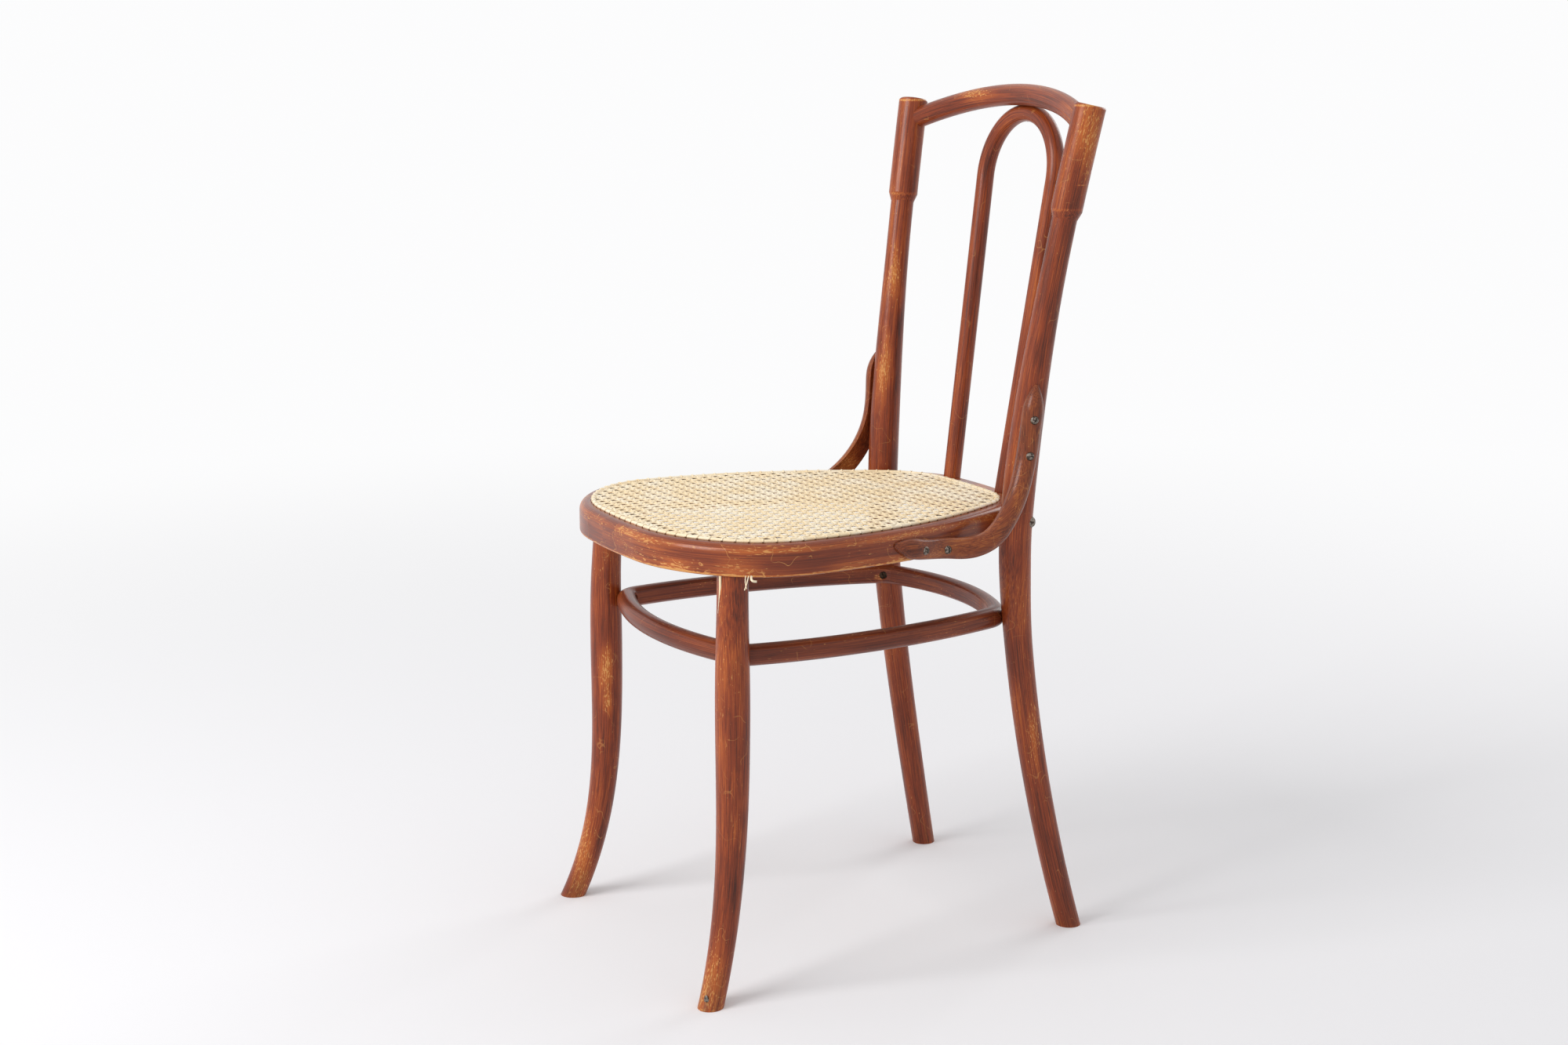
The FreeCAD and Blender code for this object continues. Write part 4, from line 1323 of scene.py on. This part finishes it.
    def weave(self, family: Weave) -> Surface:
        """Weave all strands of one family.

        Pairs lie on lines one pitch apart. Diagonals run midway between the crossings of
        the pairs, so their lines are half a pitch off.

        Args:
            family: The family.

        Returns:
            Its strands.
        """
        surface = Surface()
        headings = {
            Weave.FRONT_BACK: (0.0, 1.0),
            Weave.ACROSS: (1.0, 0.0),
            Weave.DIAGONAL: (1.0, 1.0),
            Weave.COUNTER_DIAGONAL: (1.0, -1.0),
        }
        direction = unit(np.array([headings[family]]))[0]
        paired = family in (Weave.FRONT_BACK, Weave.ACROSS)
        width = self.strand_width if paired else self.diagonal_width
        reach = int(self.weave_reach / self.pitch)
        for line in range(-reach, reach + 1):
            for which in (-1, 1) if paired else (1,):
                aside = which * self.pair_spread if paired else 0.5 * self.pitch
                aside += line * self.pitch
                if family is Weave.FRONT_BACK:
                    offset = -aside
                else:
                    offset = (SEAT_WIDEST_Y + aside) * direction[0]
                self.lay(surface, Strand(family, which, direction, offset), width)
        return surface

    def round_border(self, count: int) -> tuple[np.ndarray, np.ndarray]:
        """Space places evenly along the middle of the border.

        Args:
            count: How many.

        Returns:
            The places in plan, and their outward directions.
        """
        headings = CANE_OUTLINE.evenly(count, -self.border)
        spots = CANE_OUTLINE.points(headings, -self.border)
        return spots, unit(CANE_OUTLINE.points(headings) - spots)

    def holes(self) -> tuple[np.ndarray, np.ndarray]:
        """Places and outward directions of the drilled holes, one pitch apart."""
        return self.round_border(int(CANE_OUTLINE.length(-self.border) / self.pitch))

    def binder(self) -> Surface:
        """Lay the wide strip round the border, a low dome carried along the outline.

        Returns:
            The strip.
        """
        surface = Surface()
        spots, outward = self.round_border(self.binder_stations)
        path = np.column_stack([spots, np.full(len(spots), PANEL_BOX[0].z)])
        side = np.column_stack([-outward, np.zeros(len(spots))])
        section = dome(self.binder_width, self.binder_height)
        surface.sweep(path, side, section, level=True, closed=True)
        return surface

    def ties(self) -> Surface:
        """Tie the binder down with a thin loop at each hole.

        Each is a flattened half ellipse across the strip, from the weave on its inner side
        to the wood on its outer side.

        Returns:
            The loops.
        """
        surface = Surface()
        turn = np.linspace(0.0, math.pi, self.tie_stations)
        reach = -np.cos(turn) * (self.binder_width / 2 + self.tie_overhang)
        rise = (self.binder_height + self.tie_rise) * np.sin(turn) ** 0.5
        for spot, out in zip(*self.holes()):
            plan = spot + reach[:, None] * out
            path = np.column_stack([plan, PANEL_BOX[0].z + rise])
            side = np.array([-out[1], out[0], 0.0])
            surface.sweep(path, side, lens(self.tie_width, self.thin_strand))
        return surface

    def under_loops(self) -> Surface:
        """Lay short stretches of cane under the ring, from hole to hole.

        Each runs straight in plan and sags by the root of half a sine, with its ends up in
        the wood.

        Returns:
            The stretches, some left out at random.
        """
        surface = Surface()
        spots, outward = self.holes()
        share = np.linspace(0.0, 1.0, self.loop_stations)[:, None]
        sag = self.loop_depth * (2 * np.sin(math.pi * share[:, 0]) ** 0.5 - 1)
        for start, stop, out in zip(spots, np.roll(spots, -1, axis=0), outward):
            if self.random.random() < self.loops_left_out:
                continue
            plan = start * (1 - share) + stop * share
            path = np.column_stack([plan, SEAT_BOX[0].z - sag])
            side = np.array([-out[0], -out[1], 0.0])
            surface.sweep(path, side, lens(self.strand_width, self.thickness))
        return surface

    def loose_ends(self) -> Surface:
        """Hang strand ends out under the ring by the front leg, their flat side to the front.

        Returns:
            The ends.
        """
        surface = Surface()
        for end in self.loose:
            path = end.path(self.loose_stations)
            side = unit(np.cross(headings_of(path), np.array(self.loose_ends_face)))
            surface.sweep(path, side, lens(end.width * MM, self.thin_strand))
        return surface

    def build(self) -> list[bpy.types.Object]:
        """Make and dress the cane pieces; the weave and the strip replace the plain ones.

        Returns:
            The pieces.
        """
        # Copies of one cane finish: the woven one is darkened below the weave's middle and the tied one
        # below half the binder's height, partly dust and partly painted shade; the clean one has neither.
        woven = CaneFinish().material("woven_cane", self.level - self.dust_and_shade_under_weave)
        tied = CaneFinish().material("tied_cane", PANEL_BOX[0].z + self.binder_height / 2)
        clean = CaneFinish().material("clean_cane", 0.0)
        made = []
        for family in Weave:
            piece = self.weave(family).piece("cane_" + family.value, woven)
            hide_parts("cane_panel")
            made.append(piece)
        strips = {"cane_binder_strip": (self.binder(), clean), "cane_binder_ties": (self.ties(), tied)}
        for name, (surface, cane) in strips.items():
            piece = surface.piece(name, cane)
            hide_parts("cane_binder")
            made.append(piece)
        hanging = {"cane_under_loops": self.under_loops(), "cane_loose_ends": self.loose_ends()}
        for name, surface in hanging.items():
            piece = surface.piece(name, clean)
            made.append(piece)
        for piece in made:
            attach(piece, BODY)
        return made


def dress(node: str, material: bpy.types.Material) -> bpy.types.Object:
    """Give a CAD node a material in all its slots.

    Args:
        node: The node's name.
        material: The material.

    Returns:
        The node's object.
    """
    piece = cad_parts[node]
    if not piece.material_slots:
        piece.data.materials.append(material)
    for slot in piece.material_slots:
        slot.material = material
    return piece


def worn_places() -> dict[str, list[WearSpot]]:
    """List the rubbed places that the chair shows, in millimetres.

    Returns:
        The places of each wooden node that has any.
    """
    return {
        "front_leg_right": [
            rubbed_at((-141.0, -198.0, 266.0), (13.0, 13.0, 46.0), 0.75),
            rubbed_at((-139.0, -197.0, 228.0), (10.0, 12.0, 22.0), 0.65),
            rubbed_at((-163.0, -222.0, 70.0), (22.0, 26.0, 125.0), 0.55),
        ],
        "front_leg_left": [rubbed_at((178.0, -228.0, 36.0), (22.0, 24.0, 130.0), 0.62)],
        "back_post_left": [
            rubbed_at((186.0, 196.0, 838.0), (15.0, 21.0, 76.0), 0.55),
            rubbed_at((187.5, 190.0, 800.5), (10.0, 13.0, 1.3), 1.2),
            rubbed_at((151.0, 170.0, 225.0), (14.0, 14.0, 90.0), 0.5),
        ],
        "back_post_right": [
            rubbed_at((-137.0, 148.0, 575.0), (11.0, 14.0, 90.0), 0.65),
            rubbed_at((-145.0, 163.0, 690.0), (12.0, 14.0, 80.0), 0.5),
        ],
        "seat_ring": [
            rubbed_at((172.0, -192.0, 442.0), (36.0, 40.0, 17.0), 0.5),
            rubbed_at((120.0, -234.0, 438.0), (40.0, 20.0, 12.0), 0.45),
            rubbed_at((187.0, -20.0, 436.0), (12.0, 34.0, 8.0), 0.7),
            rubbed_at((196.0, -75.0, 438.0), (14.0, 60.0, 9.0), 0.45),
        ],
        "stretcher_ring": [
            rubbed_at((-109.5, 128.5, 343.0), (9.0, 9.0, 8.0), 0.9),
            rubbed_at((-142.0, -80.0, 352.0), (10.0, 40.0, 8.0), 0.45),
        ],
        "brace_right": [rubbed_at((-166.0, 120.0, 468.0), (14.0, 22.0, 30.0), 0.5)],
        "brace_left": [rubbed_at((190.0, 25.0, 438.0), (14.0, 40.0, 10.0), 0.4)],
        "top_rail": [rubbed_at((-70.0, 219.0, 890.0), (60.0, 14.0, 14.0), 0.5)],
    }


@dataclass(frozen=True)
class Member:
    """A wooden node: run, finish, rubbed edges and side, where the middle counts as left."""

    node: str
    run: Run
    finish: WoodFinish
    edges: tuple[WearEdge, ...] = ()
    side: Side = Side.LEFT


@dataclass
class WoodMembers:
    """The bent and turned wooden pieces, and where each is worn."""

    seat_wood: WoodFinish = WoodFinish(
        body=srgb(126, 54, 27), grain=0.45, nicks=0.4, scratches=0.7, coat=0.42
    )
    stretcher_wood: WoodFinish = WoodFinish(body=srgb(114, 50, 28), thin=srgb(152, 76, 38), shift=2.0)
    leg_wood: WoodFinish = WoodFinish(shift=3.0)
    post_wood: WoodFinish = WoodFinish(shift=7.0)
    brace_wood: WoodFinish = WoodFinish(body=srgb(130, 62, 32), thin=srgb(168, 96, 46), shift=11.0)
    rail_wood: WoodFinish = WoodFinish(shift=15.0)
    hoop_wood: WoodFinish = WoodFinish(nicks=0.1, shift=18.0)
    seat_low_edge: WearEdge = WearEdge(SEAT_BOX[0].z + 1.7 * MM, 1.8 * MM, 0.8)
    seat_high_edge: WearEdge = WearEdge(SEAT_BOX[1].z - 5.0 * MM, 6.0 * MM, 0.35)
    head_rim: WearEdge = WearEdge(879.5 * MM, 2.0 * MM, 0.8)
    shoulder_rim: WearEdge = WearEdge(775.5 * MM, 2.5 * MM, 0.3)
    foot_rim: WearEdge = WearEdge(0.0, 6.0 * MM, 0.15)
    rail_crest: WearEdge = WearEdge(RAIL_BOX[1].z, 8.0 * MM, 0.3)
    places: dict[str, list[WearSpot]] = field(default_factory=worn_places)

    def members(self) -> list[Member]:
        """List the pieces with what each is cut from and where it is rubbed.

        Returns:
            One member to a wooden node.
        """
        members = [
            Member("seat_ring", Run.SEAT_RING, self.seat_wood, (self.seat_low_edge, self.seat_high_edge)),
            Member("stretcher_ring", Run.STRETCHER, self.stretcher_wood),
        ]
        post_rims = (self.head_rim, self.shoulder_rim, self.foot_rim)
        for side in Side:
            word = side.name.lower()
            leg, post, brace = (wood.on(side) for wood in (self.leg_wood, self.post_wood, self.brace_wood))
            members += [
                Member("front_leg_" + word, Run.FRONT_LEG, leg, (self.foot_rim,), side),
                Member("back_post_" + word, Run.POST, post, post_rims, side),
                Member("brace_" + word, Run.BRACE, brace, (), side),
            ]
        members.append(Member("top_rail", Run.RAIL, self.rail_wood, (self.rail_crest,)))
        members.append(Member("back_hoop", Run.HOOP, self.hoop_wood))
        return members

    def build(self) -> list[bpy.types.Object]:
        """Dress every wooden node in its own wood.

        Returns:
            The nodes' objects.
        """
        made = []
        for member in self.members():
            marks = [*member.edges, *self.places.get(member.node, [])]
            wood = member.finish.material("wood_" + member.node, member.run, member.side, marks)
            made.append(dress(member.node, wood))
        return made


@dataclass
class Fasteners:
    """Screws, bolts, washers and nuts, and the repair nail in the near front foot."""

    steel: SteelFinish = SteelFinish()
    sunk_steel: SteelFinish = SteelFinish(bright=srgb(84, 66, 52), dull=srgb(40, 29, 23), roughness=0.6)
    sunk_nodes: tuple[str, ...] = ("stretcher_screws",)
    nodes: tuple[str, ...] = (
        "brace_screws",
        "stretcher_screws",
        "hoop_top_screw",
        "seat_bolts",
        "seat_bolt_washers",
        "seat_bolt_nuts",
    )
    foot_nail: Point = (183.9 * MM, -233.5 * MM, 11.0 * MM)
    nail_radii: Point = (2.6 * MM, 5.0 * MM, 0.9 * MM)
    nail_pole: float = 0.04
    nail_grid: tuple[int, int] = (9, 16)

    def build(self) -> list[bpy.types.Object]:
        """Dress every steel node and add the foot's repair nail.

        Returns:
            The nodes' objects and the nail's.
        """
        dulled = self.steel.material("dulled_steel")
        rusty = self.sunk_steel.material("rusty_steel")
        made = [dress(node, rusty if node in self.sunk_nodes else dulled) for node in self.nodes]
        nail = self.nail().piece("foot_nail_head", dulled)
        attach(nail, BODY)
        return [*made, nail]

    def nail(self) -> Surface:
        """Shape the flat oval head, an ellipsoid by its two angles, facing out of the foot.

        Returns:
            The head.
        """
        out = np.array([self.foot_nail[0] - FRONT_FOOT[0], self.foot_nail[1] - FRONT_FOOT[1], 0.0])
        out /= np.linalg.norm(out)
        level = np.array([-out[1], out[0], 0.0])
        wide, high, deep = self.nail_radii
        tilt = np.linspace(self.nail_pole, math.pi - self.nail_pole, self.nail_grid[0])[:, None]
        turn = np.linspace(0.0, 2 * math.pi, self.nail_grid[1] + 1)[:-1]
        path = np.array(self.foot_nail) - deep * np.cos(tilt) * out
        surface = Surface()
        surface.skin(
            path[:, None, :]
            + level * (wide * np.sin(tilt) * np.cos(turn))[:, :, None]
            + UP * (high * np.sin(tilt) * np.sin(turn))[:, :, None]
        )
        return surface


@dataclass(frozen=True)
class SoftLamp:
    """A square lamp: its name, place, size and power in watts."""

    name: str
    place: Point
    size: float
    power: float


@dataclass
class Studio:
    """Pale floor and backdrop, soft lamps, and the camera at the photograph's angle."""

    eye: Point = (2.1165, -1.1583, 0.9227)
    azimuth: float = 62.4035
    pitch: float = 11.3427
    roll: float = 0.1377
    focal_pixels: float = 2936.43
    frame_width: float = 2000.0
    sensor: float = 36.0
    target: Point = (0.0, 0.0, 0.45)
    lamps: tuple[SoftLamp, ...] = (
        SoftLamp("key", (0.2, -3.2, 2.3), 1.8, 78.0),
        SoftLamp("rim", (-1.2, 3.2, 2.2), 1.6, 22.0),
    )
    floor_radius: float = 12.0
    floor_corners: int = 96
    floor_colour: Colour = (0.945, 0.94, 0.96, 1.0)
    fade_centre: Pair = (0.1, 0.2)
    fade_reach: Pair = (0.4, 3.4)
    backdrop: Colour = (0.975, 0.975, 0.98, 1.0)
    ambient: float = 0.6

    def build(self) -> None:
        """Make the stage."""
        self.floor()
        self.world()
        for lamp in self.lamps:
            self.lamp(lamp)
        self.camera()

    def floor(self) -> None:
        """Lay a wide disc that fades into the backdrop far from the object."""
        turn = np.linspace(0.0, 2 * math.pi, self.floor_corners + 1)[:-1]
        ring = np.column_stack([np.cos(turn), np.sin(turn), np.zeros(len(turn))]) * self.floor_radius
        mesh = bpy.data.meshes.new("floor")
        mesh.from_pydata(ring.tolist(), [], [tuple(range(len(turn)))])
        floor = placed("floor", mesh)
        bench = MaterialBench("floor_sweep")
        x, y, _ = bench.place
        away = bench.length(x - self.fade_centre[0], y - self.fade_centre[1])
        matt = bench.node("BsdfDiffuse", None, {0: self.floor_colour})
        glow = bench.node("Emission", None, {0: self.backdrop, 1: 1.0})
        share = bench.ease(away, *self.fade_reach) * self.seen(bench)
        mixed = bench.node("MixShader", None, {0: share, 1: matt.outputs[0], 2: glow.outputs[0]})
        bench.node("OutputMaterial", None, {0: mixed.outputs[0]})
        mesh.materials.append(bench.material)
        floor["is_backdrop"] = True

    @staticmethod
    def seen(bench: Bench) -> Signal:
        """Tell which rays see the backdrop.

        Args:
            bench: The tree that needs it.

        Returns:
            1 for rays from the camera, off gloss or through glass.
        """
        path = bench.node("LightPath")
        names = ("Is Camera Ray", "Is Glossy Ray", "Is Transmission Ray")
        camera, gloss, glass = (Signal(bench, path.outputs[name]) for name in names)
        return (camera + gloss + glass).under(1.0)

    def world(self) -> None:
        """Light evenly from all round, seen as the backdrop by the camera and by gloss."""
        world = bpy.data.worlds.new("studio")
        world.use_nodes = True
        bpy.context.scene.world = world
        bench = Bench(world.node_tree)
        level = (self.ambient, self.ambient, self.ambient, 1.0)
        colour = bench.blend(self.seen(bench), level, self.backdrop)
        light = bench.node("Background", None, {0: colour, 1: 1.0})
        bench.node("OutputWorld", None, {0: light.outputs[0]})

    def lamp(self, lamp: SoftLamp) -> None:
        """Hang a lamp that faces the chair.

        Args:
            lamp: The lamp.
        """
        data = bpy.data.lights.new(lamp.name, "AREA")
        data.shape = "SQUARE"
        data.size = lamp.size
        data.energy = lamp.power
        hung = placed(lamp.name, data)
        hung.location = lamp.place
        aim = Vector(self.target) - Vector(lamp.place)
        hung.rotation_euler = aim.to_track_quat("-Z", "Y").to_euler()

    def camera(self) -> None:
        """Set the camera at the eye point, turned by azimuth, pitch and roll."""
        turn, tilt, lean = (math.radians(v) for v in (self.azimuth, self.pitch, self.roll))
        level = Vector((math.cos(turn), math.sin(turn), 0.0))
        ahead = Vector((-math.sin(turn), math.cos(turn), 0.0))
        forward = ahead * math.cos(tilt) - Vector(UP) * math.sin(tilt)
        upward = level.cross(forward)
        right = level * math.cos(lean) + upward * math.sin(lean)
        up = upward * math.cos(lean) - level * math.sin(lean)
        data = bpy.data.cameras.new("photo_view")
        data.sensor_fit = "HORIZONTAL"
        data.sensor_width = self.sensor
        data.lens = self.focal_pixels / self.frame_width * self.sensor
        camera = placed("photo_view", data)
        axes = Matrix((right, up, -forward)).transposed().to_4x4()
        camera.matrix_world = Matrix.Translation(Vector(self.eye)) @ axes
        bpy.context.scene.camera = camera


def corners(box: Box) -> list[list[float]]:
    """A box as plain lists."""
    return [list(box[0]), list(box[1])]


def main() -> None:
    """Build the looks in order, report each piece, and work out the sizes."""
    logging.basicConfig(level=logging.INFO, format="%(name)s: %(message)s")
    bpy.context.scene.view_settings.view_transform = "Standard"
    for part in (WoodMembers(), Fasteners(), CaneSeat()):
        for piece in part.build():
            finish = piece.material_slots[0].material.name
            log.info("%s: %d faces in %s", piece.name, len(piece.data.polygons), finish)
    Studio().build()
    {"cad": corners(CAD_BOX), "visual": corners(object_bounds())}


if __name__ == "__main__":
    main()
